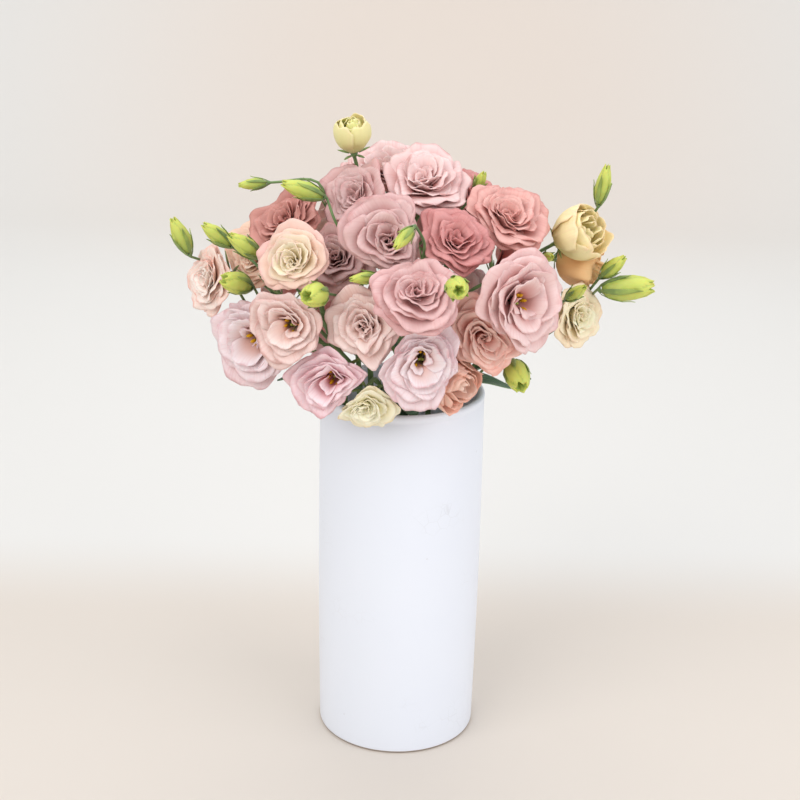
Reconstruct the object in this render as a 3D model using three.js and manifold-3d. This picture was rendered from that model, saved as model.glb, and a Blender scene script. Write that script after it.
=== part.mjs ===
// Double lisianthus, cut and stood in water in a tall white vase.
// Millimetres, +Z up. The origin is the middle of the vase's foot, and the arrangement's front faces -Y.
import * as THREE from 'three';
import { mergeVertices } from 'three/addons/utils/BufferGeometryUtils.js';
import Module from 'manifold-3d';

const wasm = await Module();
wasm.setup();

const V = (x, y, z) => new THREE.Vector3(x, y, z);
const UP = V(0, 0, 1);
const rad = THREE.MathUtils.degToRad;

// Driving sizes of the vase, a slip-cast cylinder with a slightly narrower foot and a soft rolled lip
const VASE = {
  height: 293,
  rimRadius: 65,
  bellyRadius: 65.7,
  footRadius: 64,
  wall: 5.5,
  floor: 9,
  footRound: 3,
  lipHeight: 5,
  lipProud: 0.8,
  lipRound: 2,
  lipInnerRound: 1.1,
  sides: 32,
};
const WATER = { depth: 190, sides: 16 };

// Clearance between pieces that touch on the real thing
const GAP = 0.35;

// Driving sizes of the plant. A cup is the receptacle at a branch's end, which the head sits on.
const STEM = { radius: 2.4, upperRadius: 2.04, sides: 5, aboveRim: 8, aboveBranch: 2 };
const BLOOM_BRANCH = { radius: 1.4, cupRadius: 3, cupLength: 5 };
const BUD_BRANCH = { radius: 1, cupLength: 3, cupProud: 0.7 };
const SEPAL = { length: 15, spread: 84, budReach: 0.5, budSpread: 1.25, budGap: 1.2 };

// A branch leaves its stem at drop below its head, and slope lower for each millimetre to the side. leave and
// enter shape its bend, as shares of its length. keep is the share of a bloom's radius that it stays clear
// of, round a point behind the bloom's heart.
const BRANCH = {
  points: 4, belowRim: 12, belowCrown: 2, drop: 16, slope: 0.7, leave: 0.2, enter: 0.4, enterMost: 30,
  rounds: 30, keep: 0.7, behind: 0.2, push: 0.5, ease: 0.1, cupShare: 0.45,
};

// A petal's sheet, the rounding of its end, and how much its ruffle calms down towards its sides
const PETAL = { thickness: 0.8, rounding: 0.14, calm: 0.5 };

// How much one petal differs from the next, as shares of its length, radians, degrees and waves
const VARIATION = { length: 0.08, turn: 0.05, opening: 6, waves: [1.1, 0.5] };

// The rings of a bloom's core that its petals grow between, as radius and height, and the height at which
// its closed heart is widest
const CORE = [[3, 0.35], [2.4, 1.35], [2, 2.6]];
const HEART_WIDEST = 0.6;

// How far a bloom reaches in front of and behind its middle, in multiples of its radius, and how sharply it
// gives way where its neighbours press it
const REACH = { front: 0.35, back: 0.7 };
const PRESS = { corners: 20, onset: 12 };

// A bud's rings, as shares of its length and radius. ridge is the depth of its folds, and twist their turn.
const BUD = {
  sides: 6,
  rings: [[0, 0.3], [0.42, 1], [0.7, 0.84], [0.92, 0.42]],
  ridge: 0.12,
  ridges: 2.5,
  twist: 1.2,
};

// A leaf is an ovate blade that arches away from its stem. root is its width there, as a share of the
// blade's.
const LEAF = {
  thickness: 0.9, arch: 0.14, bend: 1.2, fold: 0.22, root: 0.4, rows: [[0.42, 3], [1, 2]],
  outline: { start: 0.1, run: 0.88, end: 0.97, fullness: 0.8 },
};

// The viewpoint that the arrangement was read from: a camera in front of the vase and a little above it.
// A head's place is the pixel of an 800 by 800 picture at which it is seen, and how far it is ahead of the
// vase's axis.
const VIEW = { focal: 1600, pitch: 20.08, roll: 1.22, left: 1.8, distance: 1187, height: 716.6, middle: 400 };

// Whorls of petals, in multiples of a bloom's radius. lean is the petal's angle from the bloom's axis at its
// root, middle and edge, in degrees. rows are the rows of points above the root: how far along the petal they
// are, how many points they have, and half the angle that they take round the axis.
const outer = { length: 1.27, lean: [50, 2, 102], shingle: 0.08, ruffle: 0.06 };
const spread = { length: 1.25, lean: [48, 8, 92], shingle: 0.08, ruffle: 0.06 };
const inner = { length: 1.08, lean: [32, -4, 40], shingle: 0.06, ruffle: 0.05 };
const throat = { length: 0.98, lean: [34, 0, 52], shingle: 0.06, ruffle: 0.05 };
const cupped = { length: 1.72, lean: [58, -4, 24], shingle: 0.08, ruffle: 0.04 };
const folded = { length: 1.5, lean: [34, -8, 2], shingle: 0.05, ruffle: 0.03 };
const FIVE = { count: 5, rows: [[0.42, 3, 36], [0.78, 4, 54], [1, 4, 48]] };
const THREE_WIDE = { count: 3, rows: [[0.5, 3, 54], [1, 4, 72]] };
const FOUR = { count: 4, rows: [[0.48, 3, 45], [1, 4, 60]] };
const TWO = { count: 2, rows: [[0.5, 4, 67.5], [1, 4, 67.5]] };

// A bloom's middle stands its seat above its base. heart is the girth and height of its closed middle.
const KINDS = {
  full: { seat: 0.7, heart: [0.1, 0.88], whorls: [{ ...outer, ...FIVE }, { ...inner, ...THREE_WIDE }] },
  open: { seat: 0.7, heart: [0.07, 0.5], whorls: [{ ...spread, ...FIVE }, { ...throat, ...THREE_WIDE }] },
  plain: { seat: 0.7, heart: [0.12, 0.88], whorls: [{ ...outer, ...FOUR }, { ...inner, ...TWO }] },
  half: { seat: 0.95, heart: [0.16, 1.35], whorls: [{ ...cupped, ...FOUR }, { ...folded, ...TWO }] },
};

// Every stem with the heads that it carries. foot and mouth are where the stem stands on the vase's floor
// and passes its rim, and crown is where it ends inside the dome, as heights above the rim.
// at: pixel across, pixel down, millimetres ahead. face: degrees round from the front, degrees up.
const STEMS = [
  {
    name: 'stem_front',
    foot: [6, -20],
    mouth: [0, -34],
    crown: [0, -36, 90],
    blooms: [
      { name: 'bloom_front_high', at: [417, 289, 110], size: 68, face: [6, 44], kind: 'full', seed: 1 },
      { name: 'bloom_front_left', at: [363, 328, 94], size: 79, face: [-14, 12], kind: 'full', seed: 10 },
      { name: 'bloom_front_low', at: [421, 362, 104], size: 67, face: [0, 6], kind: 'open', seed: 16 },
      { name: 'bloom_over_rim', at: [365, 408, 93], size: 47, face: [-5, -30], kind: 'plain', seed: 38 },
      { name: 'bloom_centre', at: [389, 240, 76], size: 68, face: [8, 24], kind: 'full', seed: 29 },
    ],
    buds: [
      { name: 'bud_front_round', at: [457, 288, 152], size: [16, 22], face: [5, 5] },
      { name: 'bud_between', at: [364, 278, 93], size: [9, 21], face: [-65, 0] },
      { name: 'bud_nodding', at: [404, 238, 100], size: [10, 21], face: [-42, -32], via: [425, 236, 82] },
    ],
    leaves: [
      { height: 4, face: [-20, 15], length: 46, width: 20 },
      { height: -2, face: [26, 0], length: 23, width: 19 },
      { height: -6, face: [-8, 0], length: 21, width: 18 },
    ],
  },
  {
    name: 'stem_front_right',
    foot: [24, -8],
    mouth: [34, -22],
    crown: [38, -24, 95],
    blooms: [
      { name: 'bloom_right_face', at: [525, 305, 90], size: 75, face: [38, 8], kind: 'open', seed: 57 },
      { name: 'bloom_right_low', at: [484, 338, 80], size: 68, face: [15, 8], kind: 'full', seed: 73 },
      { name: 'bloom_right_rim', at: [451, 376, 80], size: 47, face: [50, -24], kind: 'half', seed: 83 },
      { name: 'bloom_right_deep', at: [455, 239, 71], size: 64, face: [18, 52], kind: 'full', seed: 80 },
    ],
    buds: [{ name: 'bud_right_low', at: [517, 375, 66], size: [19, 28], face: [12, -24] }],
    leaves: [
      { height: 1, face: [90, 14], length: 54, width: 24 },
      { height: 30, face: [75, 5], length: 50, width: 16 },
      { height: 2, face: [2, 0], length: 24, width: 18 },
    ],
  },
  {
    name: 'stem_front_left',
    foot: [-14, -22],
    mouth: [-32, -26],
    crown: [-38, -28, 80],
    blooms: [
      { name: 'bloom_left_rim', at: [333, 381, 92], size: 70, face: [-14, -4], kind: 'open', seed: 105 },
      { name: 'bloom_left_face', at: [290, 327, 90], size: 64, face: [-12, 5], kind: 'open', seed: 99 },
      { name: 'bloom_cream', at: [293, 262, 80], size: 53, face: [-12, 18], kind: 'full', seed: 106 },
      { name: 'bloom_behind_cream', at: [334, 257, 44], size: 64, face: [-10, 20], kind: 'plain', seed: 117 },
    ],
    buds: [{ name: 'bud_left_round', at: [315, 295, 98], size: [18, 23], face: [-32, 8] }],
    leaves: [{ height: 4, face: [-35, 10], length: 40, width: 18 }],
  },
  {
    name: 'stem_left',
    foot: [-28, 2],
    mouth: [-46, -2],
    crown: [-66, -6, 75],
    blooms: [
      { name: 'bloom_left_open', at: [250, 337, 52], size: 72, face: [-34, 4], kind: 'open', seed: 127 },
      { name: 'bloom_left_edge', at: [207, 276, 12], size: 57, face: [-52, 6], kind: 'full', seed: 139 },
      { name: 'bloom_left_peach', at: [249, 257, 3], size: 54, face: [-38, 22], kind: 'plain', seed: 141 },
      { name: 'bloom_left_high', at: [286, 219, 22], size: 72, face: [-35, 52], kind: 'full', seed: 148 },
    ],
    buds: [
      { name: 'bud_left_tip', at: [181, 236, 6], size: [14, 29], face: [-90, 66], via: [224, 264, -14] },
      { name: 'bud_left_upper', at: [217, 235, 34], size: [13, 26], face: [-75, 40], via: [258, 264, 44] },
      { name: 'bud_left_inner', at: [245, 246, 58], size: [14, 30], face: [-60, 38], via: [272, 274, 50] },
      { name: 'bud_left_plump', at: [237, 283, 46], size: [17, 24], face: [-60, 22], via: [264, 298, 36] },
    ],
    leaves: [{ height: 8, face: [-80, 5], length: 50, width: 20 }],
  },
  {
    name: 'stem_right',
    foot: [28, 8],
    mouth: [46, 4],
    crown: [68, 2, 85],
    blooms: [
      { name: 'bloom_edge_cream', at: [581, 315, 14], size: 48, face: [40, 4], kind: 'full', seed: 187 },
      { name: 'bloom_edge_yellow', at: [579, 234, 12], size: 43, face: [52, 28], kind: 'half', seed: 190 },
      { name: 'bloom_edge_peach', at: [582, 264, -10], size: 42, face: [75, -8], kind: 'half', seed: 197 },
      { name: 'bloom_right_high', at: [509, 214, 32], size: 66, face: [30, 50], kind: 'full', seed: 204 },
    ],
    buds: [
      { name: 'bud_right_tall', at: [603, 185, 10], size: [12, 30], face: [60, 80], via: [566, 238, -24] },
      { name: 'bud_right_upper', at: [613, 267, 12], size: [12, 25], face: [60, 45], via: [588, 280, -6] },
      { name: 'bud_right_large', at: [627, 288, 14], size: [20, 39], face: [85, 6], via: [592, 283, -8] },
      { name: 'bud_right_inner', at: [576, 293, 46], size: [10, 26], face: [30, 35] },
      { name: 'bud_right_small', at: [548, 257, 22], size: [8, 16], face: [20, 15] },
    ],
    leaves: [{ height: 10, face: [85, 5], length: 52, width: 20 }],
  },
  {
    name: 'stem_top',
    foot: [-4, 6],
    mouth: [-2, 4],
    crown: [-2, 6, 130],
    blooms: [
      { name: 'bloom_top', at: [423, 178, 16], size: 78, face: [6, 58], kind: 'full', seed: 246 },
      { name: 'bloom_top_back', at: [386, 164, -30], size: 66, face: [-25, 74], kind: 'plain', seed: 255 },
      { name: 'bloom_top_left', at: [355, 196, 22], size: 66, face: [-35, 35], kind: 'full', seed: 260 },
      { name: 'bloom_top_right', at: [472, 192, -34], size: 46, face: [40, 45], kind: 'plain', seed: 267 },
      { name: 'bloom_greenish', at: [352, 135, 0], size: 31, face: [-15, 68], kind: 'half', seed: 274 },
    ],
    buds: [
      { name: 'bud_arched_small', at: [253, 184, 2], size: [9, 21], face: [-90, -6], via: [318, 180, 6] },
      { name: 'bud_arched_large', at: [303, 190, 46], size: [14, 31], face: [-80, 20], via: [334, 207, 54] },
      { name: 'bud_top_right', at: [480, 181, 4], size: [9, 18], face: [35, 55] },
    ],
    leaves: [{ height: 20, face: [180, 40], length: 44, width: 18 }],
  },
  {
    name: 'stem_back_left',
    foot: [-16, 24],
    mouth: [-26, 32],
    crown: [-34, 34, 70],
    blooms: [
      { name: 'bloom_back_left', at: [332, 309, -70], size: 73, face: [-150, 5], kind: 'plain', seed: 303 },
      {
        name: 'bloom_back_upper_left', at: [350, 225, -62], size: 73, face: [-160, 35],
        kind: 'plain', seed: 309,
      },
      {
        name: 'bloom_back_far_left', at: [285, 272, -54], size: 66, face: [-115, 15],
        kind: 'plain', seed: 317,
      },
    ],
    buds: [],
    leaves: [{ height: 6, face: [-140, 8], length: 56, width: 22 }],
  },
  {
    name: 'stem_back_right',
    foot: [14, 26],
    mouth: [22, 32],
    crown: [28, 36, 75],
    blooms: [
      { name: 'bloom_back', at: [402, 304, -86], size: 77, face: [180, 10], kind: 'plain', seed: 323 },
      { name: 'bloom_back_right', at: [472, 302, -70], size: 70, face: [150, 5], kind: 'plain', seed: 332 },
      {
        name: 'bloom_back_upper_right', at: [440, 231, -74], size: 75, face: [165, 35],
        kind: 'plain', seed: 337,
      },
      {
        name: 'bloom_back_far_right', at: [520, 270, -40], size: 66, face: [110, 15],
        kind: 'plain', seed: 344,
      },
    ],
    buds: [],
    leaves: [{ height: 6, face: [150, 8], length: 56, width: 22 }],
  },
];

// Colours
const COLOURS = {
  white: '#eef0f4',
  water: '#dfe8e6',
  green: '#5d7d52',
  bud: '#b9c64a',
  pink: '#e3b0ab',
  cream: '#f1e2bd',
};
const CREAM_HEADS = [
  'bloom_cream',
  'bloom_over_rim',
  'bloom_edge_cream',
  'bloom_edge_yellow',
  'bloom_greenish',
];

// A seeded stream of numbers from 0 to 1
function draws(seed) {
  let state = Math.imul(seed + 1, 2654435761) >>> 0;
  return () => {
    state = (Math.imul(state, 1664525) + 1013904223) >>> 0;
    return state / 4294967296;
  };
}

// The point seen at a pixel, at a distance ahead of the vase's axis
function seenAt([across, down, ahead]) {
  const turn = rad(VIEW.roll);
  const pitch = rad(VIEW.pitch);
  const u = across - VIEW.middle;
  const v = down - VIEW.middle;
  const x = (Math.cos(turn) * u + Math.sin(turn) * v) / VIEW.focal;
  const y = (Math.cos(turn) * v - Math.sin(turn) * u) / VIEW.focal;
  const ray = V(x, Math.cos(pitch) - y * Math.sin(pitch), -Math.sin(pitch) - y * Math.cos(pitch));
  return V(-VIEW.left, -VIEW.distance, VIEW.height).addScaledVector(ray, (VIEW.distance - ahead) / ray.y);
}

// A direction from degrees round from the front and degrees up
function facing([round, up]) {
  const level = Math.cos(rad(up));
  return V(Math.sin(rad(round)) * level, -Math.cos(rad(round)) * level, Math.sin(rad(up)));
}

// Axes of a head or leaf: its base, two directions across it and its axis
function frameAt(base, axis) {
  const right = UP.clone().cross(axis).normalize();
  return { base, right, over: axis.clone().cross(right), axis };
}

function placed({ base, right, over, axis }, x, y, z) {
  return base.clone().addScaledVector(right, x).addScaledVector(over, y).addScaledVector(axis, z);
}

// A closed surface, put together from corners and faces that are seen anticlockwise from outside
class Surface {
  corners = [];
  triangles = [];

  corner(point) {
    return this.corners.push(point) - 1;
  }

  face(...ring) {
    for (let i = 1; i < ring.length - 1; i++) this.triangles.push([ring[0], ring[i], ring[i + 1]]);
  }

  // A ring of corners, anticlockwise as seen from its end
  ring(sides, pointAt) {
    return Array.from({ length: sides }, (_, i) => this.corner(pointAt((2 * Math.PI * i) / sides)));
  }

  // The side faces between two rings, apart from those that something grows from
  band(low, high, grown = new Map()) {
    low.forEach((a, i) => {
      const b = (i + 1) % low.length;
      if (grown.has(i)) grown.get(i)([a, low[b]], [high[i], high[b]]);
      else this.face(a, low[b], high[b], high[i]);
    });
  }

  // A thin sheet that grows from two edges, the lower at its back and the upper at its front.
  // point(u, v) is its middle surface, u runs across it from -1 to 1, and both faces are split alike.
  sheet(low, high, point, rows, thickness) {
    const step = 0.02;
    const backs = [low];
    const fronts = [high];
    for (const [v, count] of rows) {
      const back = [];
      const front = [];
      for (let i = 0; i < count; i++) {
        const u = (2 * i) / (count - 1) - 1;
        const along = point(u, v).sub(point(u, v - step));
        const across = point(u + step, v).sub(point(u - step, v));
        const half = across.cross(along).normalize().multiplyScalar(thickness / 2);
        back.push(this.corner(point(u, v).add(half)));
        front.push(this.corner(point(u, v).sub(half)));
      }
      backs.push(back);
      fronts.push(front);
    }
    for (let j = 0; j < rows.length; j++) {
      this.strip(backs[j], backs[j + 1], (a, b, c) => this.face(a, b, c));
      this.strip(fronts[j], fronts[j + 1], (a, b, c) => this.face(a, c, b));
      this.face(fronts[j][0], backs[j][0], backs[j + 1][0], fronts[j + 1][0]);
      this.face(backs[j].at(-1), fronts[j].at(-1), fronts[j + 1].at(-1), backs[j + 1].at(-1));
    }
    const [back, front] = [backs.at(-1), fronts.at(-1)];
    for (let i = 0; i < back.length - 1; i++) this.face(back[i], back[i + 1], front[i + 1], front[i]);
  }

  // Triangles between two rows, which may have different numbers of points
  strip(low, high, put) {
    const [m, n] = [low.length - 1, high.length - 1];
    let [i, j] = [0, 0];
    while (i < m || j < n) {
      if (j === n || (i < m && (i + 0.5) / m <= (j + 0.5) / n)) {
        put(low[i], low[i + 1], high[j]);
        i += 1;
      } else {
        put(low[i], high[j + 1], high[j]);
        j += 1;
      }
    }
  }

  geometry() {
    const geometry = new THREE.BufferGeometry();
    const positions = this.corners.flatMap((p) => [p.x, p.y, p.z]);
    geometry.setAttribute('position', new THREE.Float32BufferAttribute(positions, 3));
    geometry.setIndex(this.triangles.flat());
    return geometry;
  }
}

// Joining and cutting
function solidOf(geometry) {
  geometry.deleteAttribute('normal');
  geometry.deleteAttribute('uv');
  const merged = mergeVertices(geometry, 1e-4);
  const vertProperties = new Float32Array(merged.attributes.position.array);
  const triVerts = new Uint32Array(merged.index.array);
  return new wasm.Manifold(new wasm.Mesh({ numProp: 3, vertProperties, triVerts }));
}

function geometryOf(manifold) {
  const { vertProperties, triVerts } = manifold.getMesh();
  const geometry = new THREE.BufferGeometry();
  geometry.setAttribute('position', new THREE.BufferAttribute(new Float32Array(vertProperties), 3));
  geometry.setIndex(new THREE.BufferAttribute(new Uint32Array(triVerts), 1));
  return geometry;
}

function meshOf(name, geometry, color, roughness) {
  const material = new THREE.MeshStandardMaterial({ color, roughness, metalness: 0 });
  const mesh = new THREE.Mesh(geometry, material);
  mesh.name = name;
  return mesh;
}

// How far a bloom's petals reach from its middle in a direction
function reach(head, direction) {
  const along = head.axis.dot(direction);
  const depth = along > 0 ? REACH.front : REACH.back;
  return head.radius * (Math.sqrt(Math.max(0, 1 - along * along)) + depth * Math.abs(along));
}

// A crowded bloom is smaller on the side where its neighbours are
function pressed(head, point) {
  const out = point.clone().sub(head.middle);
  const distance = out.length();
  out.divideScalar(distance);
  let crowding = 0;
  for (const { towards, room } of head.walls) {
    crowding += Math.max(out.dot(towards) / room, 0) ** PRESS.corners;
  }
  const most = 1 / crowding ** (1 / PRESS.corners);
  const squeeze = (1 + (reach(head, out) / most) ** PRESS.onset) ** (-1 / PRESS.onset);
  return head.middle.clone().addScaledVector(out, Math.min(distance * squeeze, most));
}

// A petal's profile from its root to its edge: distance from the axis, height and lean, at equal steps
const PROFILE_STEPS = 24;
function profileOf(whorl, root, length, opening) {
  const points = [[...root, rad(whorl.lean[0])]];
  for (let k = 1; k <= PROFILE_STEPS; k++) {
    const s = (k - 0.5) / PROFILE_STEPS;
    const [low, middle, edge] = whorl.lean;
    const lean = rad(low * (1 - s) ** 2 + middle * 2 * s * (1 - s) + edge * s * s + opening * s);
    const [r, z] = points[k - 1];
    const step = length / PROFILE_STEPS;
    points.push([r + step * Math.sin(lean), z + step * Math.cos(lean), lean]);
  }
  return points;
}

function alongProfile(points, s) {
  const k = Math.min(Math.floor(s * PROFILE_STEPS), PROFILE_STEPS - 1);
  const f = s * PROFILE_STEPS - k;
  return points[k].map((value, i) => value * (1 - f) + points[k + 1][i] * f);
}

// The middle surface of a petal: u runs across it from -1 to 1, and v from root to edge. It widens from its
// claw, one side of it lies over its neighbour and the other under, and its edge waves.
function petalPoint(head, petal, u, v) {
  const { whorl, turn, profile, claw, waves, phase } = petal;
  const [r, z, lean] = alongProfile(profile, v * (1 - PETAL.rounding * u * u * v * v));
  const steps = [[0, 0, claw], ...whorl.rows];
  const next = Math.max(1, steps.findIndex(([end]) => v <= end + 1e-6));
  const [[from, , low], [to, , high]] = [steps[next - 1], steps[next]];
  const angle = turn + u * rad(THREE.MathUtils.mapLinear(v, from, to, low, high));
  const wave = whorl.ruffle * v * v * (1 - PETAL.calm * u * u) * Math.sin(Math.PI * waves * u + phase);
  const lift = whorl.shingle * u * Math.min(2 * v, 1) + wave;
  const out = head.radius * (r + lift * Math.cos(lean));
  const up = head.radius * (z - lift * Math.sin(lean));
  return pressed(head, placed(head, out * Math.cos(angle), out * Math.sin(angle), up));
}

// A bloom is one surface: a core with a closed heart, and whorls of petals that grow from the core's sides
function bloomGeometry(head) {
  const { heart, whorls } = KINDS[head.kind];
  const draw = draws(head.seed);
  const sides = 2 * whorls[0].count;
  const start = 2 * Math.PI * draw();
  const surface = new Surface();
  const at = (a, r, z) => placed(head, r * Math.cos(a + start), r * Math.sin(a + start), z);
  const rings = CORE.map(([r, z]) => surface.ring(sides, (a) => at(a, r, z)));
  surface.face(...rings[0].slice().reverse());
  whorls.forEach((whorl, level) => {
    const root = [0, 1].map((k) => (CORE[level][k] + CORE[level + 1][k]) / 2 / head.radius);
    const grown = new Map();
    for (let i = 0; i < whorl.count; i++) {
      const side = (Math.round((i * sides) / whorl.count) + level) % sides;
      const length = whorl.length * (1 + VARIATION.length * (draw() - 0.5));
      const petal = {
        whorl,
        turn: start + (2 * Math.PI * (side + 0.5)) / sides + VARIATION.turn * (draw() - 0.5),
        claw: 180 / sides,
        profile: profileOf(whorl, root, length, VARIATION.opening * (draw() - 0.5)),
        waves: VARIATION.waves[0] + VARIATION.waves[1] * draw(),
        phase: 2 * Math.PI * draw(),
      };
      grown.set(side, (back, front) => {
        surface.sheet(back, front, (u, v) => petalPoint(head, petal, u, v), whorl.rows, PETAL.thickness);
      });
    }
    surface.band(rings[level], rings[level + 1], grown);
  });
  const [girth, height] = heart.map((share) => share * head.radius);
  const widest = surface.ring(sides, (a) => pressed(head, at(a, girth, HEART_WIDEST * height)));
  const tip = surface.corner(pressed(head, at(0, 0, height)));
  surface.band(rings.at(-1), widest);
  widest.forEach((a, i) => surface.face(a, widest[(i + 1) % sides], tip));
  return surface.geometry();
}

// A bud is a spindle of petals wound round each other, which stand out as slanting ridges
function budGeometry(head) {
  const surface = new Surface();
  const rings = BUD.rings.map(([share, wide]) => surface.ring(BUD.sides, (a) => {
    const fold = BUD.ridge * (0.5 + 0.5 * Math.sin(BUD.ridges * a));
    const r = head.radius * wide * (1 - fold * share);
    const angle = a + BUD.twist * share;
    return placed(head, r * Math.cos(angle), r * Math.sin(angle), GAP + (head.length - GAP) * share);
  }));
  const tip = surface.corner(placed(head, 0, 0, head.length));
  surface.face(...rings[0].slice().reverse());
  for (let k = 1; k < rings.length; k++) surface.band(rings[k - 1], rings[k]);
  rings.at(-1).forEach((a, i) => surface.face(a, rings.at(-1)[(i + 1) % BUD.sides], tip));
  return surface.geometry();
}

// The stem's own line: straight through the vase, then on into the dome
function stemPoint(stem, z) {
  const foot = V(...stem.foot, VASE.floor);
  const mouth = V(...stem.mouth, VASE.height);
  const crown = V(stem.crown[0], stem.crown[1], VASE.height + stem.crown[2]);
  if (z < mouth.z) return foot.lerp(mouth, (z - foot.z) / (mouth.z - foot.z));
  return mouth.lerp(crown, (z - mouth.z) / (crown.z - mouth.z));
}

// A branch leaves its stem below the head and comes into the head along the head's axis. On the way it is
// pushed out of the other blooms, a little behind their hearts, so that it runs between them.
function branchLine(stem, head) {
  const base = placed(head, 0, 0, head.bud ? -BUD_BRANCH.cupLength : -BLOOM_BRANCH.cupLength);
  const side = Math.hypot(base.x - stem.crown[0], base.y - stem.crown[1]);
  const lowest = VASE.height - BRANCH.belowRim;
  const highest = VASE.height + stem.crown[2] - BRANCH.belowCrown;
  const wanted = base.z - BRANCH.drop - BRANCH.slope * side;
  const start = stemPoint(stem, THREE.MathUtils.clamp(wanted, lowest, highest));
  const last = head.via ? seenAt(head.via) : start;
  const enter = Math.min(BRANCH.enter * last.distanceTo(base), BRANCH.enterMost);
  const into = base.clone().addScaledVector(head.axis, -enter);
  const curve = new THREE.CurvePath();
  if (head.via) {
    curve.add(new THREE.QuadraticBezierCurve3(start, V(last.x, last.y, (start.z + last.z) / 2), last));
    curve.add(new THREE.QuadraticBezierCurve3(last, into, base));
  } else {
    const leave = V(base.x - start.x, base.y - start.y, 0).normalize().add(UP);
    const pull = BRANCH.leave * start.distanceTo(base);
    curve.add(new THREE.CubicBezierCurve3(start, leave.multiplyScalar(pull).add(start), into, base));
  }
  const points = curve.getSpacedPoints(BRANCH.points);
  for (let round = 0; round < BRANCH.rounds; round++) {
    for (let k = 1; k < BRANCH.points - 1; k++) {
      for (const other of heads) {
        if (other === head || other.bud) continue;
        const away = points[k].clone().sub(other.middle);
        away.addScaledVector(other.axis, -BRANCH.behind * other.radius);
        const short = BRANCH.keep * other.radius - away.length();
        if (short > 0) points[k].addScaledVector(away.normalize(), BRANCH.push * short);
      }
      const between = points[k - 1].clone().add(points[k + 1]).multiplyScalar(0.5);
      if (!head.via) points[k].lerp(between, BRANCH.ease);
    }
  }
  return { points, curve: new THREE.CatmullRomCurve3(points) };
}

// A branch and its calyx are one surface: a rod that widens into a cup, with a sepal from each of its sides
function branchGeometry(head) {
  const { radius, cupLength } = head.bud ? BUD_BRANCH : BLOOM_BRANCH;
  const budCup = BUD.rings[0][1] * head.radius + BUD_BRANCH.cupProud;
  const cup = head.bud ? budCup : BLOOM_BRANCH.cupRadius;
  const surface = new Surface();
  const side = head.right.clone();
  const ringAt = (middle, axis, r) => {
    side.addScaledVector(axis, -side.dot(axis)).normalize();
    const across = { base: middle, right: side.clone(), over: axis.clone().cross(side), axis };
    return surface.ring(STEM.sides, (a) => placed(across, r * Math.cos(a), r * Math.sin(a), 0));
  };
  const high = ringAt(placed(head, 0, 0, 0), head.axis, cup);
  const low = ringAt(placed(head, 0, 0, -cupLength * BRANCH.cupShare), head.axis, cup);
  const rings = [low];
  for (let k = BRANCH.points; k >= 0; k--) {
    const along = k < BRANCH.points ? head.line.curve.getTangent(k / BRANCH.points) : head.axis;
    rings.unshift(ringAt(head.line.points[k], along, radius));
  }
  surface.face(...rings[0].slice().reverse());
  for (let k = 1; k < rings.length; k++) surface.band(rings[k - 1], rings[k]);
  const grown = new Map();
  for (let i = 0; i < STEM.sides; i++) {
    const angle = (2 * Math.PI * (i + 0.5)) / STEM.sides;
    const point = (r, z) => placed(head, r * Math.cos(angle), r * Math.sin(angle), z);
    const [across, rise] = [Math.sin(rad(SEPAL.spread)), Math.cos(rad(SEPAL.spread))];
    const tipPoint = head.bud
      ? point(head.radius * SEPAL.budSpread + SEPAL.budGap, SEPAL.budReach * head.length)
      : point(SEPAL.length * across, SEPAL.length * rise);
    grown.set(i, (back, front) => {
      const tip = surface.corner(tipPoint);
      const around = [...back, front[1], front[0]];
      around.forEach((a, k) => surface.face(a, around[(k + 1) % 4], tip));
    });
  }
  surface.band(low, high, grown);
  surface.face(...high);
  return surface.geometry();
}

// A point of a leaf: u runs across it from -1 to 1, and v from its root to its tip
function leafPoint(leaf, u, v) {
  const { start, run, end, fullness } = LEAF.outline;
  const half = (leaf.width / 2) * Math.sin(Math.PI * Math.min(start + run * v, end)) ** fullness;
  const arch = leaf.length * LEAF.arch * Math.sin(Math.PI * v * LEAF.bend);
  return placed(frameAt(leaf.root, leaf.axis), u * half, arch + LEAF.fold * half * u * u, leaf.length * v);
}

function leafGeometry(leaf) {
  const surface = new Surface();
  const { over } = frameAt(leaf.root, leaf.axis);
  const edge = (lift) => [-LEAF.root, LEAF.root].map((u) => (
    surface.corner(leafPoint(leaf, u, 0).addScaledVector(over, lift))
  ));
  const low = edge(-LEAF.thickness / 2);
  const high = edge(LEAF.thickness / 2);
  surface.face(low[0], high[0], high[1], low[1]);
  surface.sheet(low, high, (u, v) => leafPoint(leaf, u, v), LEAF.rows, LEAF.thickness);
  return surface.geometry();
}

// Heads and leaves get their places
const heads = [];
for (const stem of STEMS) {
  for (const [list, bud] of [[stem.blooms, false], [stem.buds, true]]) {
    for (const row of list) {
      const axis = facing(row.face);
      const middle = seenAt(row.at);
      const radius = bud ? row.size[0] / 2 : row.size / 2;
      const below = bud ? row.size[1] / 2 : KINDS[row.kind].seat * radius;
      const frame = frameAt(middle.clone().addScaledVector(axis, -below), axis);
      const head = { ...row, ...frame, middle, radius, bud, stem, length: bud ? row.size[1] : 0 };
      heads.push(head);
    }
  }
  for (const leaf of stem.leaves) {
    leaf.axis = facing(leaf.face);
    leaf.root = stemPoint(stem, VASE.height + leaf.height);
  }
}

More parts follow.
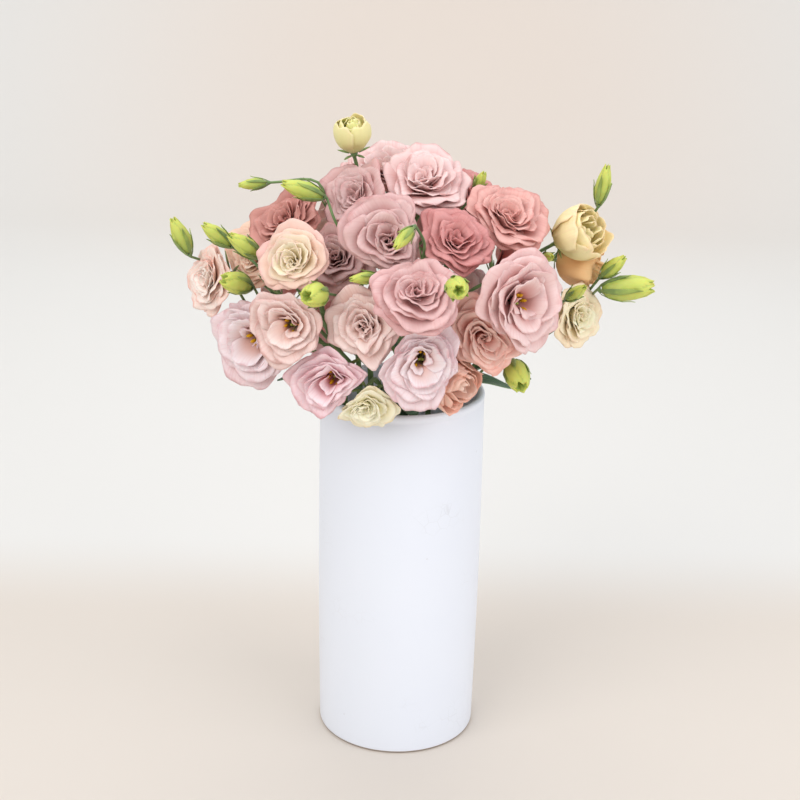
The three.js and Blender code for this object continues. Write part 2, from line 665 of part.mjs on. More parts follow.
// What each bloom has to keep clear of, as walls at a distance from its middle. The distances are allowances
// for the sheets' bulges between the sampled points.
const CLEAR = PETAL.thickness / 2 + GAP;
const LEAST_ROOM = 6;
const ALLOW = { branch: 1, stem: 0.5, leaf: 1, bud: 2, rim: 1.5 };
const BUD_SAMPLES = [[0.15, 0.9], [0.5, 1.1], [0.85, 0.9]];
const LINE_SAMPLES = 12;
const STEM_SPACING = 12;
const LEAF_SAMPLES = { along: [0.3, 0.5, 0.7, 0.85, 1], across: [-1, 0, 1] };
const RIM_SAMPLES = { around: 36, down: [2, 14, 28] };
for (const head of heads) head.line = branchLine(head.stem, head);
function wallsOf(head) {
  const walls = [];
  const keepOff = (point, size) => {
    const towards = point.clone().sub(head.middle);
    const distance = towards.length();
    walls.push({ towards: towards.normalize(), room: Math.max(distance - size - CLEAR, LEAST_ROOM) });
  };
  for (const other of heads) {
    if (other === head) continue;
    if (other.bud) {
      for (const [share, wide] of BUD_SAMPLES) {
        keepOff(placed(other, 0, 0, share * other.length), other.radius * wide + ALLOW.bud);
      }
    } else {
      const towards = other.middle.clone().sub(head.middle);
      const distance = towards.length();
      towards.normalize();
      const mine = reach(head, towards);
      const theirs = reach(other, towards.clone().negate());
      walls.push({ towards, room: (distance * mine) / (mine + theirs) - CLEAR });
    }
    const { radius } = other.bud ? BUD_BRANCH : BLOOM_BRANCH;
    for (let k = 0; k <= LINE_SAMPLES; k++) {
      keepOff(other.line.curve.getPoint(k / LINE_SAMPLES), radius + ALLOW.branch);
    }
  }
  for (const stem of STEMS) {
    for (let z = 0; z <= stem.crown[2]; z += STEM_SPACING) {
      keepOff(stemPoint(stem, VASE.height + z), STEM.radius + ALLOW.stem);
    }
    for (const leaf of stem.leaves) {
      for (const v of LEAF_SAMPLES.along) {
        for (const u of LEAF_SAMPLES.across) keepOff(leafPoint(leaf, u, v), ALLOW.leaf);
      }
    }
  }
  const out = VASE.rimRadius - VASE.wall / 2;
  for (let k = 0; k < RIM_SAMPLES.around; k++) {
    const angle = (2 * Math.PI * k) / RIM_SAMPLES.around;
    for (const down of RIM_SAMPLES.down) {
      const point = V(out * Math.cos(angle), out * Math.sin(angle), VASE.height - down);
      keepOff(point, VASE.wall / 2 + ALLOW.rim);
    }
  }
  return walls;
}
for (const head of heads) head.walls = wallsOf(head);

// The vase: one lathed body, open at the top
function vaseGeometry() {
  const { height, rimRadius, bellyRadius, footRadius, wall, floor, footRound } = VASE;
  const { lipHeight, lipProud, lipRound, lipInnerRound } = VASE;
  const outline = [
    [0, 0],
    [footRadius - footRound, 0],
    [footRadius, footRound],
    [bellyRadius, height / 2],
    [rimRadius - lipProud / 2, height - lipHeight],
    [rimRadius, height - lipHeight / 2],
    [rimRadius - lipRound, height],
    [rimRadius - wall + lipInnerRound, height],
    [rimRadius - wall, height - lipHeight / 2],
    [footRadius - wall, floor],
    [0, floor],
  ];
  const geometry = new THREE.LatheGeometry(outline.map(([x, y]) => new THREE.Vector2(x, y)), VASE.sides);
  geometry.rotateX(Math.PI / 2);
  return geometryOf(solidOf(geometry));
}

// The water stands round the stems, which pass through plain holes in it
function waterGeometry() {
  const { floor, height, footRadius, wall } = VASE;
  const radius = (footRadius - wall) * Math.cos(Math.PI / VASE.sides) - GAP;
  const geometry = new THREE.CylinderGeometry(radius, radius, WATER.depth, WATER.sides);
  geometry.rotateX(Math.PI / 2);
  geometry.translate(0, 0, floor + GAP + WATER.depth / 2);
  const holeSides = 6;
  return geometryOf(STEMS.reduce((water, stem) => {
    const hole = new Surface();
    const r = STEM.radius / Math.cos(Math.PI / holeSides) + GAP;
    const [low, high] = [floor - 1, height].map((z) => {
      const middle = stemPoint(stem, z);
      return hole.ring(holeSides, (a) => middle.clone().add(V(r * Math.cos(a), r * Math.sin(a), 0)));
    });
    hole.face(...low.slice().reverse());
    hole.band(low, high);
    hole.face(...high);
    return water.subtract(solidOf(hole.geometry()));
  }, solidOf(geometry)));
}

// A stem with its branches, calyces and leaves
function stemGeometry(stem) {
  const carried = heads.filter((head) => head.stem === stem);
  const joints = carried.map((head) => head.line.points[0].z + STEM.aboveBranch);
  const top = Math.max(VASE.height + STEM.aboveRim, ...joints);
  const rod = new Surface();
  const rings = [VASE.floor + GAP, VASE.height, top].map((z) => {
    const middle = stemPoint(stem, z);
    const r = z > VASE.height ? STEM.upperRadius : STEM.radius;
    return rod.ring(STEM.sides, (a) => middle.clone().add(V(r * Math.cos(a), r * Math.sin(a), 0)));
  });
  rod.face(...rings[0].slice().reverse());
  rod.band(rings[0], rings[1]);
  rod.band(rings[1], rings[2]);
  rod.face(...rings[2]);
  const pieces = [...carried.map(branchGeometry), ...stem.leaves.map(leafGeometry)];
  return geometryOf(pieces.reduce((whole, piece) => whole.add(solidOf(piece)), solidOf(rod.geometry())));
}

const arrangement = new THREE.Group();
arrangement.add(meshOf('vase', vaseGeometry(), COLOURS.white, 0.45));
arrangement.add(meshOf('water', waterGeometry(), COLOURS.water, 0.05));
for (const stem of STEMS) {
  arrangement.add(meshOf(stem.name, stemGeometry(stem), COLOURS.green, 0.6));
}
for (const head of heads) {
  const colour = CREAM_HEADS.includes(head.name) ? COLOURS.cream : COLOURS.pink;
  if (head.bud) arrangement.add(meshOf(head.name, budGeometry(head), COLOURS.bud, 0.55));
  else arrangement.add(meshOf(head.name, bloomGeometry(head), colour, 0.7));
}

export default arrangement;
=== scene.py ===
# Double lisianthus, cut and stood in water in a tall white glazed vase.
# Sizes are in millimetres and turned to metres where a mesh is made. +Z is up, and the front faces -Y.
import math
from collections import namedtuple
from types import SimpleNamespace

import bpy
import numpy as np
from mathutils import Matrix, Vector


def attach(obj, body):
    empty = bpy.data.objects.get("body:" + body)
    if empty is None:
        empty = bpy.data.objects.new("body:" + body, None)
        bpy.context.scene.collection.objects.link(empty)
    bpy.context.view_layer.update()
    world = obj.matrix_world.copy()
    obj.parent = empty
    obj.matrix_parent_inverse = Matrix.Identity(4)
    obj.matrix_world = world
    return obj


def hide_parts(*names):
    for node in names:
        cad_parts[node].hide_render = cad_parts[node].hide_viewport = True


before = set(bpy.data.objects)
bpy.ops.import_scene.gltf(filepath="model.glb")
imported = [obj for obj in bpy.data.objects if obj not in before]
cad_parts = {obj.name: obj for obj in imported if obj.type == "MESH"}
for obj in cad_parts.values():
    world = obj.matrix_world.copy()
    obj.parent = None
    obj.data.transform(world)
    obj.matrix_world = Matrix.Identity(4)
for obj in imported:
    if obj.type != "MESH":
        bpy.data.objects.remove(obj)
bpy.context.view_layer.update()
MM = 0.001


# The viewpoint: a camera in front of the vase and a little above its mouth, looking down at the flowers,
# as a long portrait lens sees them. The picture is 800 by 800 pixels.
PICTURE = 800
VIEW = {"focal": 1600, "pitch": 20.08, "roll": 1.22, "left": 1.8, "distance": 1187, "height": 716.6}
SENSOR = 36

camera = bpy.data.objects.new("camera", bpy.data.cameras.new("camera"))
bpy.context.collection.objects.link(camera)
camera.data.sensor_width = SENSOR
camera.data.lens = SENSOR * VIEW["focal"] / PICTURE
pitch = math.radians(VIEW["pitch"])
towards = Vector((0, math.cos(pitch), -math.sin(pitch)))
level = towards.to_track_quat("-Z", "Y").to_matrix().to_4x4()
aim = level @ Matrix.Rotation(math.radians(VIEW["roll"]), 4, "Z")
place = Vector((-VIEW["left"], -VIEW["distance"], VIEW["height"])) * MM
camera.matrix_world = Matrix.Translation(place) @ aim
bpy.context.scene.camera = camera


# The room: a pale warm paper sweep, lit evenly by a large soft window at the front left and by the
# white room round it. The paper rises far behind, with a lamp of its own, so the back can be seen too.
# Its colour holds painted shade: the floor is painted darker and warmer than the wall, and a broad patch
# high on the back wall is painted darker and warmer again.
PAPER = {"floor": "#dcd4cb", "wall": "#e4e3e0", "shade_patch": "#dfd5cc"}
SHADE_PATCH = {"at": (60, 2190, 200), "inner": 150, "outer": 1150}
SWEEP = {"front": 9000, "back": 1700, "bend": 700, "top": 3400, "wide": 9000, "steps": 24}
TONES = {"from": 160, "to": 350}
DAYLIGHT = {"sky": "#f9fafc", "sky_strength": 0.61}
Lamp = namedtuple("Lamp", "name at size power colour aim", defaults=((0, 0, 330),))
LAMPS = [
    Lamp("window", (-1100, -1300, 1500), 1500, 16.8, "#fffdfb"),
    Lamp("fill", (1300, -900, 900), 1600, 11.5, "#fbfbff"),
    Lamp("sky_light", (-100, -250, 2100), 1500, 8.4, "#f7f9ff"),
    Lamp("wall_light", (0, 1100, 2300), 1800, 20, "#fdfcfb", (0, 2500, 400)),
]


def linear(code):
    """Linear red, green, blue and alpha of an sRGB hex colour."""
    parts = [int(code[i:i + 2], 16) / 255 for i in (1, 3, 5)]
    return (*[c / 12.92 if c <= 0.04045 else ((c + 0.055) / 1.055) ** 2.4 for c in parts], 1)


class Skin:
    """A material and its nodes. Its methods return the socket that carries what they make."""

    def __init__(self, name, roughness, ior, **sockets):
        self.material = bpy.data.materials.new(name)
        self.material.use_nodes = True
        self.tree = self.material.node_tree
        self.shader = self.tree.nodes["Principled BSDF"]
        for socket, value in {"Roughness": roughness, "IOR": ior, **sockets}.items():
            self.shader.inputs[socket.replace("_", " ")].default_value = value

    def add(self, kind, inputs, **settings):
        """The outputs of a new node, with its inputs set to values or linked to sockets."""
        node = self.tree.nodes.new("ShaderNode" + kind)
        for name, value in settings.items():
            setattr(node, name, value)
        for key, value in inputs.items():
            if isinstance(value, bpy.types.NodeSocket):
                self.tree.links.new(value, node.inputs[key])
            else:
                node.inputs[key].default_value = value
        return node.outputs

    def where(self):
        return self.add("TexCoord", {})["Object"]

    def along(self, axis):
        return self.add("SeparateXYZ", {0: self.where()})[axis]

    def mark(self, name):
        return self.add("Attribute", {}, attribute_name=name)["Fac"]

    def mix(self, share, first, second):
        """A colour between two others, each a hex colour or a socket."""
        first, second = (linear(c) if isinstance(c, str) else c for c in (first, second))
        return self.add("Mix", {0: share, 6: first, 7: second}, data_type="RGBA")[2]

    def ramp(self, value, start, end, low=0.0, high=1.0, smooth=False):
        """A number that goes from low to high while the value goes from start to end."""
        inputs = {"Value": value, "From Min": start, "From Max": end, "To Min": low, "To Max": high}
        return self.add("MapRange", inputs, interpolation_type="SMOOTHSTEP" if smooth else "LINEAR")[0]

    def maths(self, operation, *values):
        return self.add("Math", dict(enumerate(values)), operation=operation)[0]

    def noise(self, where, scale, detail):
        return self.add("TexNoise", {"Vector": where, "Scale": scale, "Detail": detail})["Fac"]

    def drive(self, socket, output):
        self.tree.links.new(output, self.shader.inputs[socket])

    def relief(self, height, strength, depth):
        """Small relief on the surface, from a height. The depth is in millimetres."""
        bump = self.add("Bump", {"Height": height, "Strength": strength, "Distance": depth * MM})
        self.drive("Normal", bump[0])


def make_mesh(name, points, faces, marks=None):
    """A smooth mesh object from points in millimetres. marks are named numbers, one for each point."""
    mesh = bpy.data.meshes.new(name)
    mesh.from_pydata((np.asarray(points) * MM).tolist(), [], faces)
    mesh.polygons.foreach_set("use_smooth", [True] * len(mesh.polygons))
    for mark, values in (marks or {}).items():
        mesh.attributes.new(mark, "FLOAT", "POINT").data.foreach_set("value", np.asarray(values, np.float32))
    piece = bpy.data.objects.new(name, mesh)
    bpy.context.collection.objects.link(piece)
    return piece


def paper_sweep():
    bend, back = SWEEP["bend"], SWEEP["back"]
    line = [(-SWEEP["front"], 0), (back, 0)]
    for k in range(1, SWEEP["steps"] + 1):
        a = math.pi / 2 * k / SWEEP["steps"]
        line.append((back + bend * math.sin(a), bend * (1 - math.cos(a))))
    line.append((back + bend, SWEEP["top"]))
    points = [(x, y, z) for y, z in line for x in (-SWEEP["wide"] / 2, SWEEP["wide"] / 2)]
    faces = [(2 * k, 2 * k + 1, 2 * k + 3, 2 * k + 2) for k in range(len(line) - 1)]
    sweep = make_mesh("paper_sweep", points, faces)
    paper = Skin("matt_paper", 0.95, 1.45, Specular_IOR_Level=0.1)
    # Painted shade: the floor part of the paper is painted darker and warmer than the wall part
    behind = paper.ramp(paper.along("Y"), TONES["from"] * MM, TONES["to"] * MM, smooth=True)
    lower = paper.mix(behind, PAPER["floor"], PAPER["wall"])
    # Painted shade: a broad patch high on the back wall, painted darker and warmer than the rest of the wall
    centre = tuple(Vector(SHADE_PATCH["at"]) * MM)
    away = paper.add("VectorMath", {0: paper.where(), 1: centre}, operation="DISTANCE")["Value"]
    shade_patch = paper.ramp(away, SHADE_PATCH["outer"] * MM, SHADE_PATCH["inner"] * MM, smooth=True)
    paper.drive("Base Color", paper.mix(shade_patch, lower, PAPER["shade_patch"]))
    sweep.data.materials.append(paper.material)


paper_sweep()
world = bpy.data.worlds.new("daylight")
world.use_nodes = True
world.node_tree.nodes["Background"].inputs["Color"].default_value = linear(DAYLIGHT["sky"])
world.node_tree.nodes["Background"].inputs["Strength"].default_value = DAYLIGHT["sky_strength"]
bpy.context.scene.world = world
bpy.context.scene.view_settings.view_transform = "Standard"
for row in LAMPS:
    lamp = bpy.data.objects.new(row.name, bpy.data.lights.new(row.name, "AREA"))
    bpy.context.collection.objects.link(lamp)
    lamp.data.energy = row.power
    lamp.data.size = row.size * MM
    lamp.data.color = linear(row.colour)[:3]
    lamp.location = Vector(row.at) * MM
    towards = Vector(row.aim) * MM - lamp.location
    lamp.rotation_euler = towards.to_track_quat("-Z", "Y").to_euler()


# The vase is a slip-cast cylinder of white earthenware with a satin glaze: the wall ends in a soft rolled
# lip, and the foot is wiped bare, so a thin biscuit-brown line shows where it meets the table.
VASE = {"height": 293, "rim": 65, "belly": 65.7, "foot": 64, "wall": 5.5, "floor": 9,
        "steps": 14, "around": 144}
# The groove under the lip is in from the rim and up from the lip's lower end
LIP = {"tall": 7, "roll": 2.6, "steps": 10, "neck": 0.4, "groove": ((0.7, 0.8), (0.2, 2))}
FOOT = {"round": 3, "steps": 6, "bare": 1.3, "blend": 0.8}
# The inside: its neck is in from the wall and down from the rim, its corner is in and up from the floor
INSIDE = {"neck": (0.2, 8), "corner": ((0, 4), (1.2, 1.2), (4, 0))}
GLAZE = {"light": "#f0f5fe", "shade": "#ebf1fc", "mark": "#8d8579", "mark_strength": 0.12, "foot": "#a8937c",
         "satin": 0.36, "dry": 0.9, "plate": 9, "pinhole_gap": 30}


def ring_faces(rings, sides, first=0):
    """The faces between rings of points that follow each other."""
    faces = []
    for low in range(first, first + (rings - 1) * sides, sides):
        for i in range(sides):
            j = (i + 1) % sides
            faces.append((low + i, low + j, low + sides + j, low + sides + i))
    return faces


def lathe(name, outline, sides):
    """A closed body turned from (radius, height) points. The first and the last are on the axis."""
    angles = np.arange(sides) * 2 * np.pi / sides
    points = [(0, 0, outline[0][1])]
    for r, z in outline[1:-1]:
        points += [(r * math.cos(a), r * math.sin(a), z) for a in angles]
    points.append((0, 0, outline[-1][1]))
    last = len(points) - 1
    top = last - sides
    faces = ring_faces(len(outline) - 2, sides, 1)
    for i in range(sides):
        j = (i + 1) % sides
        faces += [(0, 1 + j, 1 + i), (last, top + i, top + j)]
    return make_mesh(name, points, faces)


def vase_outline():
    line = [(0, 0), (VASE["foot"] - FOOT["round"], 0)]
    for k in range(1, FOOT["steps"] + 1):
        a = math.pi / 2 * k / FOOT["steps"]
        inward, up = FOOT["round"] * (1 - math.sin(a)), FOOT["round"] * (1 - math.cos(a))
        line.append((VASE["foot"] - inward, up))
    low, high = FOOT["round"], VASE["height"] - LIP["tall"]
    for k in range(1, VASE["steps"] + 1):
        share = k / VASE["steps"]
        straight = VASE["foot"] * (1 - share) + (VASE["rim"] - LIP["neck"]) * share
        bulge = (VASE["belly"] - (VASE["foot"] + VASE["rim"]) / 2) * math.sin(math.pi * share)
        line.append((straight + bulge, low + (high - low) * share))
    line += [(VASE["rim"] - inward, high + up) for inward, up in LIP["groove"]]
    half = VASE["wall"] / 2
    for k in range(LIP["steps"] + 1):
        a = math.pi * k / LIP["steps"]
        up = VASE["height"] - LIP["roll"] * (1 - math.sin(a))
        line.append((VASE["rim"] - half + half * math.cos(a), up))
    inward, down = INSIDE["neck"]
    line.append((VASE["rim"] - VASE["wall"] - inward, VASE["height"] - down))
    inside = VASE["foot"] - VASE["wall"]
    line += [(inside - inward, VASE["floor"] + up) for inward, up in INSIDE["corner"]]
    return line + [(0, VASE["floor"])]


def satin_glaze():
    """Glaze over white earthenware: a broad soft highlight, faint crazing and a few pinholes."""
    glaze = Skin("satin_glazed_earthenware", GLAZE["satin"], 1.5, Specular_IOR_Level=0.45)
    where = glaze.where()
    cloud = glaze.noise(where, 9.0, 3.0)
    ground = glaze.mix(cloud, GLAZE["light"], GLAZE["shade"])
    # Crazing: cracks between small plates of glaze, which show only in patches
    plates = {"Vector": where, "Scale": 1 / (GLAZE["plate"] * MM)}
    crack = glaze.ramp(glaze.add("TexVoronoi", plates, feature="DISTANCE_TO_EDGE")["Distance"], 0, 0.03, 1, 0)
    crazing = glaze.maths("MULTIPLY", crack, glaze.ramp(glaze.noise(where, 16.0, 1.0), 0.6, 0.7))
    # Pinholes between 1 and 2 mm across
    cells = {"Vector": where, "Scale": 1 / (GLAZE["pinhole_gap"] * MM)}
    pinhole = glaze.ramp(glaze.add("TexVoronoi", cells)["Distance"], 0.02, 0.035, 1, 0)
    mark = glaze.maths("MAXIMUM", crazing, pinhole)
    marked = glaze.mix(glaze.maths("MULTIPLY", mark, GLAZE["mark_strength"]), ground, GLAZE["mark"])
    bare_height = FOOT["bare"] * MM, (FOOT["bare"] + FOOT["blend"]) * MM
    bare = glaze.ramp(glaze.along("Z"), *bare_height, 1, 0)
    glaze.drive("Base Color", glaze.mix(bare, marked, GLAZE["foot"]))
    glaze.drive("Roughness", glaze.ramp(bare, 0, 1, GLAZE["satin"], GLAZE["dry"]))
    glaze.relief(glaze.maths("SUBTRACT", cloud, mark), 0.25, 0.4)
    return glaze.material


vase = lathe("glazed_vase", vase_outline(), VASE["around"])
vase.data.materials.append(satin_glaze())
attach(vase, "root")
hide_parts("vase")


# The water stands a little above half way up inside the vase, and the stems pass through it. Clear water
# has almost no colour at this depth; it is seen only from above, between the flowers.
water = Skin("clear_water", 0.02, 1.333, Transmission_Weight=1.0, Base_Color=linear("#e6efe9"))
water.relief(water.add("TexNoise", {"Scale": 40.0})["Fac"], 0.05, 0.2)
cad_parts["water"].data.materials.clear()
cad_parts["water"].data.materials.append(water.material)


# The arrangement: eight cut stems, each branched and carrying several heads. foot and mouth are where a
# stem stands on the vase's floor and passes its rim, and crown is where it ends inside the dome, as a
# height above the rim. A leaf's height is above the rim too.
Leaf = namedtuple("Leaf", "height face length width")
# at: the pixel across and down at which a head is seen, and how far it is ahead of the vase's axis
# face: degrees round from the front and degrees up. via: a place like at that the branch passes
Bloom = namedtuple("Bloom", "at size face kind skin via", defaults=(None,))
Bud = namedtuple("Bud", "at size face via kind skin", defaults=(None, None, None))
STEMS = {
    "stem_front": {
        "foot": (6, -20), "mouth": (0, -34), "crown": (0, -36, 90),
        "heads": {
            "bloom_front_high": Bloom((417, 289, 110), 68, (6, 44), "full", "rose"),
            "bloom_front_left": Bloom((363, 328, 94), 79, (-14, 12), "full", "shell"),
            "bloom_front_low": Bloom((421, 362, 104), 67, (0, 6), "open", "lilac"),
            "bloom_over_rim": Bloom((365, 408, 93), 47, (-5, -30), "full", "lemon"),
            "bloom_centre": Bloom((389, 240, 76), 68, (8, 24), "full", "mauve"),
            "bud_front_round": Bud((457, 288, 152), (16, 22), (5, 5)),
            "bud_between": Bud((364, 278, 93), (9, 21), (-65, 0)),
            "bud_nodding": Bud((404, 238, 100), (10, 21), (-42, -32), (425, 236, 82)),
        },
        "leaves": [Leaf(4, (-20, 15), 46, 20), Leaf(-2, (26, 0), 23, 19), Leaf(-6, (-8, 0), 21, 18)],
    },
    "stem_front_right": {
        "foot": (24, -8), "mouth": (34, -22), "crown": (38, -24, 95),
        "heads": {
            "bloom_right_face": Bloom((525, 305, 90), 75, (38, 8), "open", "blush"),
            "bloom_right_low": Bloom((484, 338, 80), 68, (15, 8), "full", "shell_pink"),
            "bloom_right_rim": Bloom((451, 376, 80), 47, (50, -24), "half", "salmon"),
            "bloom_right_deep": Bloom((455, 239, 71), 64, (18, 52), "full", "deep"),
            "bud_right_low": Bud((517, 375, 66), (19, 28), (12, -24)),
        },
        "leaves": [Leaf(1, (90, 14), 54, 24), Leaf(30, (75, 5), 50, 16), Leaf(2, (2, 0), 24, 18)],
    },
    "stem_front_left": {
        "foot": (-14, -22), "mouth": (-32, -26), "crown": (-38, -28, 80),
        "heads": {
            "bloom_left_rim": Bloom((333, 381, 92), 70, (-14, -4), "open", "orchid"),
            "bloom_left_face": Bloom((290, 327, 90), 64, (-12, 5), "open", "shell"),
            "bloom_cream": Bloom((293, 262, 80), 53, (-12, 18), "full", "cream"),
            "bloom_behind_cream": Bloom((334, 257, 44), 64, (-10, 20), "full", "mauve"),
            "bud_left_round": Bud((315, 295, 98), (18, 23), (-32, 8)),
        },
        "leaves": [Leaf(4, (-35, 10), 40, 18)],
    },
    "stem_left": {
        "foot": (-28, 2), "mouth": (-46, -2), "crown": (-66, -6, 75),
        "heads": {
            "bloom_left_open": Bloom((250, 337, 52), 72, (-34, 4), "open", "lilac"),
            "bloom_left_edge": Bloom((207, 276, 12), 57, (-52, 6), "full", "apricot"),
            "bloom_left_peach": Bloom((249, 257, 3), 54, (-38, 22), "full", "peach"),
            "bloom_left_high": Bloom((286, 219, 22), 72, (-35, 52), "full", "brick"),
            "bud_left_tip": Bud((181, 236, 6), (14, 29), (-90, 66), (224, 264, -14)),
            "bud_left_upper": Bud((217, 235, 34), (13, 26), (-75, 40), (258, 264, 44)),
            "bud_left_inner": Bud((245, 246, 58), (14, 30), (-60, 38), (272, 274, 50)),
            "bud_left_plump": Bud((237, 283, 46), (17, 24), (-60, 22), (264, 298, 36)),
        },
        "leaves": [Leaf(8, (-80, 5), 50, 20)],
    },
    "stem_right": {
        "foot": (28, 8), "mouth": (46, 4), "crown": (68, 2, 85),
        "heads": {
            "bloom_edge_cream": Bloom((581, 315, 14), 48, (40, 4), "full", "ivory"),
            "bloom_edge_yellow": Bloom((579, 234, 12), 43, (52, 28), "half", "primrose"),
            "bloom_edge_peach": Bloom((582, 264, -10), 42, (75, -8), "half", "amber"),
            "bloom_right_high": Bloom((509, 214, 32), 66, (30, 50), "full", "coral"),
            "bud_right_tall": Bud((603, 185, 10), (12, 30), (60, 80), (566, 238, -24)),
            "bud_right_upper": Bud((613, 267, 12), (12, 25), (60, 45), (588, 280, -6)),
            "bud_right_large": Bud((627, 288, 14), (20, 39), (85, 6), (592, 283, -8)),
            "bud_right_inner": Bud((576, 293, 46), (10, 26), (30, 35)),
            "bud_right_small": Bud((548, 257, 22), (8, 16), (20, 15)),
        },
        "leaves": [Leaf(10, (85, 5), 52, 20)],
    },
    "stem_top": {
        "foot": (-4, 6), "mouth": (-2, 4), "crown": (-2, 6, 130),
        "heads": {
            "bloom_top": Bloom((423, 178, 16), 78, (6, 58), "full", "blush"),
            "bloom_top_back": Bloom((386, 164, -30), 66, (-25, 74), "open", "blush"),
            "bloom_top_left": Bloom((355, 196, 22), 66, (-35, 35), "full", "mauve"),
            "bloom_top_right": Bloom((472, 192, -34), 46, (40, 45), "full", "deep"),
            "bloom_greenish": Bloom((352, 135, 0), 31, (-15, 68), "tulip", "lime"),
            "bud_arched_small": Bud((253, 184, 2), (9, 21), (-90, -6), (318, 180, 6)),
            "bud_arched_large": Bud((303, 190, 46), (14, 31), (-80, 20), (334, 207, 54)),
            "bud_top_right": Bud((480, 181, 4), (9, 18), (35, 55)),
        },
        "leaves": [Leaf(20, (180, 40), 44, 18)],
    },
    "stem_back_left": {
        "foot": (-16, 24), "mouth": (-26, 32), "crown": (-34, 34, 70),
        "heads": {
            "bloom_back_left": Bloom((332, 309, -70), 73, (-150, 5), "full", "rose"),
            "bloom_back_upper_left": Bloom((350, 225, -62), 73, (-160, 35), "full", "shell"),
            "bloom_back_far_left": Bloom((285, 272, -54), 66, (-115, 15), "open", "blush"),
        },
        "leaves": [Leaf(6, (-140, 8), 56, 22)],
    },
    "stem_back_right": {
        "foot": (14, 26), "mouth": (22, 32), "crown": (28, 36, 75),
        "heads": {
            "bloom_back": Bloom((402, 304, -86), 77, (180, 10), "full", "blush"),
            "bloom_back_right": Bloom((472, 302, -70), 70, (150, 5), "open", "lilac"),
            "bloom_back_upper_right": Bloom((440, 231, -74), 75, (165, 35), "full", "mauve"),
            "bloom_back_far_right": Bloom((520, 270, -40), 66, (110, 15), "full", "coral"),
        },
        "leaves": [Leaf(6, (150, 8), 56, 22)],
    },
}
# How far a bloom's middle is above its base, in multiples of its radius
SEATS = {"full": 0.7, "open": 0.7, "half": 0.95, "tulip": 0.95}


def unit(vector):
    return vector / np.linalg.norm(vector, axis=-1, keepdims=True)


def seen_at(across, down, ahead):
    """The point seen at a pixel, at a distance ahead of the vase's axis."""
    turn, tip = math.radians(VIEW["roll"]), math.radians(VIEW["pitch"])
    u, v = across - PICTURE / 2, down - PICTURE / 2
    x = (math.cos(turn) * u + math.sin(turn) * v) / VIEW["focal"]
    y = (math.cos(turn) * v - math.sin(turn) * u) / VIEW["focal"]
    ray = np.array([x, math.cos(tip) - y * math.sin(tip), -math.sin(tip) - y * math.cos(tip)])
    eye = np.array([-VIEW["left"], -VIEW["distance"], VIEW["height"]])
    return eye + ray * (VIEW["distance"] - ahead) / ray[1]


def facing(turned, up):
    a, e = math.radians(turned), math.radians(up)
    return np.array([math.sin(a) * math.cos(e), -math.cos(a) * math.cos(e), math.sin(e)])


class Axes:
    """The axes of a head or leaf: its base, two directions across it, and its own axis."""

    def __init__(self, base, axis):
        self.base, self.axis = base, axis
        self.right = unit(np.cross([0, 0, 1], axis))
        self.over = np.cross(axis, self.right)

    def at(self, x, y, z):
        x, y, z = (np.asarray(value, float)[..., None] for value in (x, y, z))
        return self.base + x * self.right + y * self.over + z * self.axis


heads = []
for stem in STEMS.values():
    for head_name, row in stem["heads"].items():
        bud = isinstance(row, Bud)
        across, length = row.size if bud else (row.size, 0)
        middle, axis = seen_at(*row.at), facing(*row.face)
        below = length / 2 if bud else SEATS[row.kind] * across / 2
        heads.append(SimpleNamespace(
            name=head_name, stem=stem, bud=bud, middle=middle, radius=across / 2, length=length,
            axes=Axes(middle - below * axis, axis), kind=row.kind, skin=row.skin, via=row.via))


# The stems are round, waxy and blue-green. A branch leaves its stem below its head and widens into a
# small cup, which five narrow pointed sepals grow from. Pairs of small bracts sit on the branches.
STEM = {"radius": 2.4, "sides": 10, "in_vase": 0.97, "above": 0.85, "levels": 8, "past_rim": 8, "lift": 0.4}
BRANCH = {
    "bloom": {"radius": 1.4, "cup": 3, "cup_length": 5},
    "bud": {"radius": 1, "cup": None, "cup_length": 3},
    "sides": 8, "taper": 0.15, "cup_steps": (0.6, 0.35, 0.1), "cup_shares": (0.55, 0.9, 1.0),
}
# A branch starts below its head, leaves upwards, and is pushed off the blooms that it passes
RUN = {"points": 4, "fine": 60, "drop": 16, "slope": 0.7, "below_rim": 12, "below_crown": 2, "leave": 0.2,
       "into": 0.4, "into_most": 30, "rounds": 30, "heart": 0.2, "clear": 0.7, "push": 0.5, "ease": 0.1}
SEPAL = {"count": 5, "steps": 9, "thickness": 0.5, "fullness": 0.8, "reach": 17, "width": 2.6, "closed": 0.65,
         "lean": (62, 26), "start": (2.4, -1.5), "flat": 0.7}
# The sepals of a bud lie on it: lengths in multiples of the bud's, and its outline where they run
BUD_SEPAL = {"lengths": (0.74, 0.6, 0.82, 0.66, 0.56), "proud": 0.4, "tip": 1.5, "narrowest": 1.8,
             "up": (0, 0.2, 0.42, 0.74), "out": (0.34, 0.78, 1.0, 0.9)}
BLADE = {"root": 0.16, "tip": 0.985, "columns": 5, "fold": 0.25}
BRACT = {"length": 9, "width": 1.8, "at": 0.62, "branch": 45, "fullness": 0.9, "out": (0.6, 3.5)}


def closed_rings(rings, sides):
    """The faces of a rod of rings, with a flat face at each end."""
    ends = [tuple(range(sides))[::-1], tuple((rings - 1) * sides + i for i in range(sides))]
    return ends + ring_faces(rings, sides)


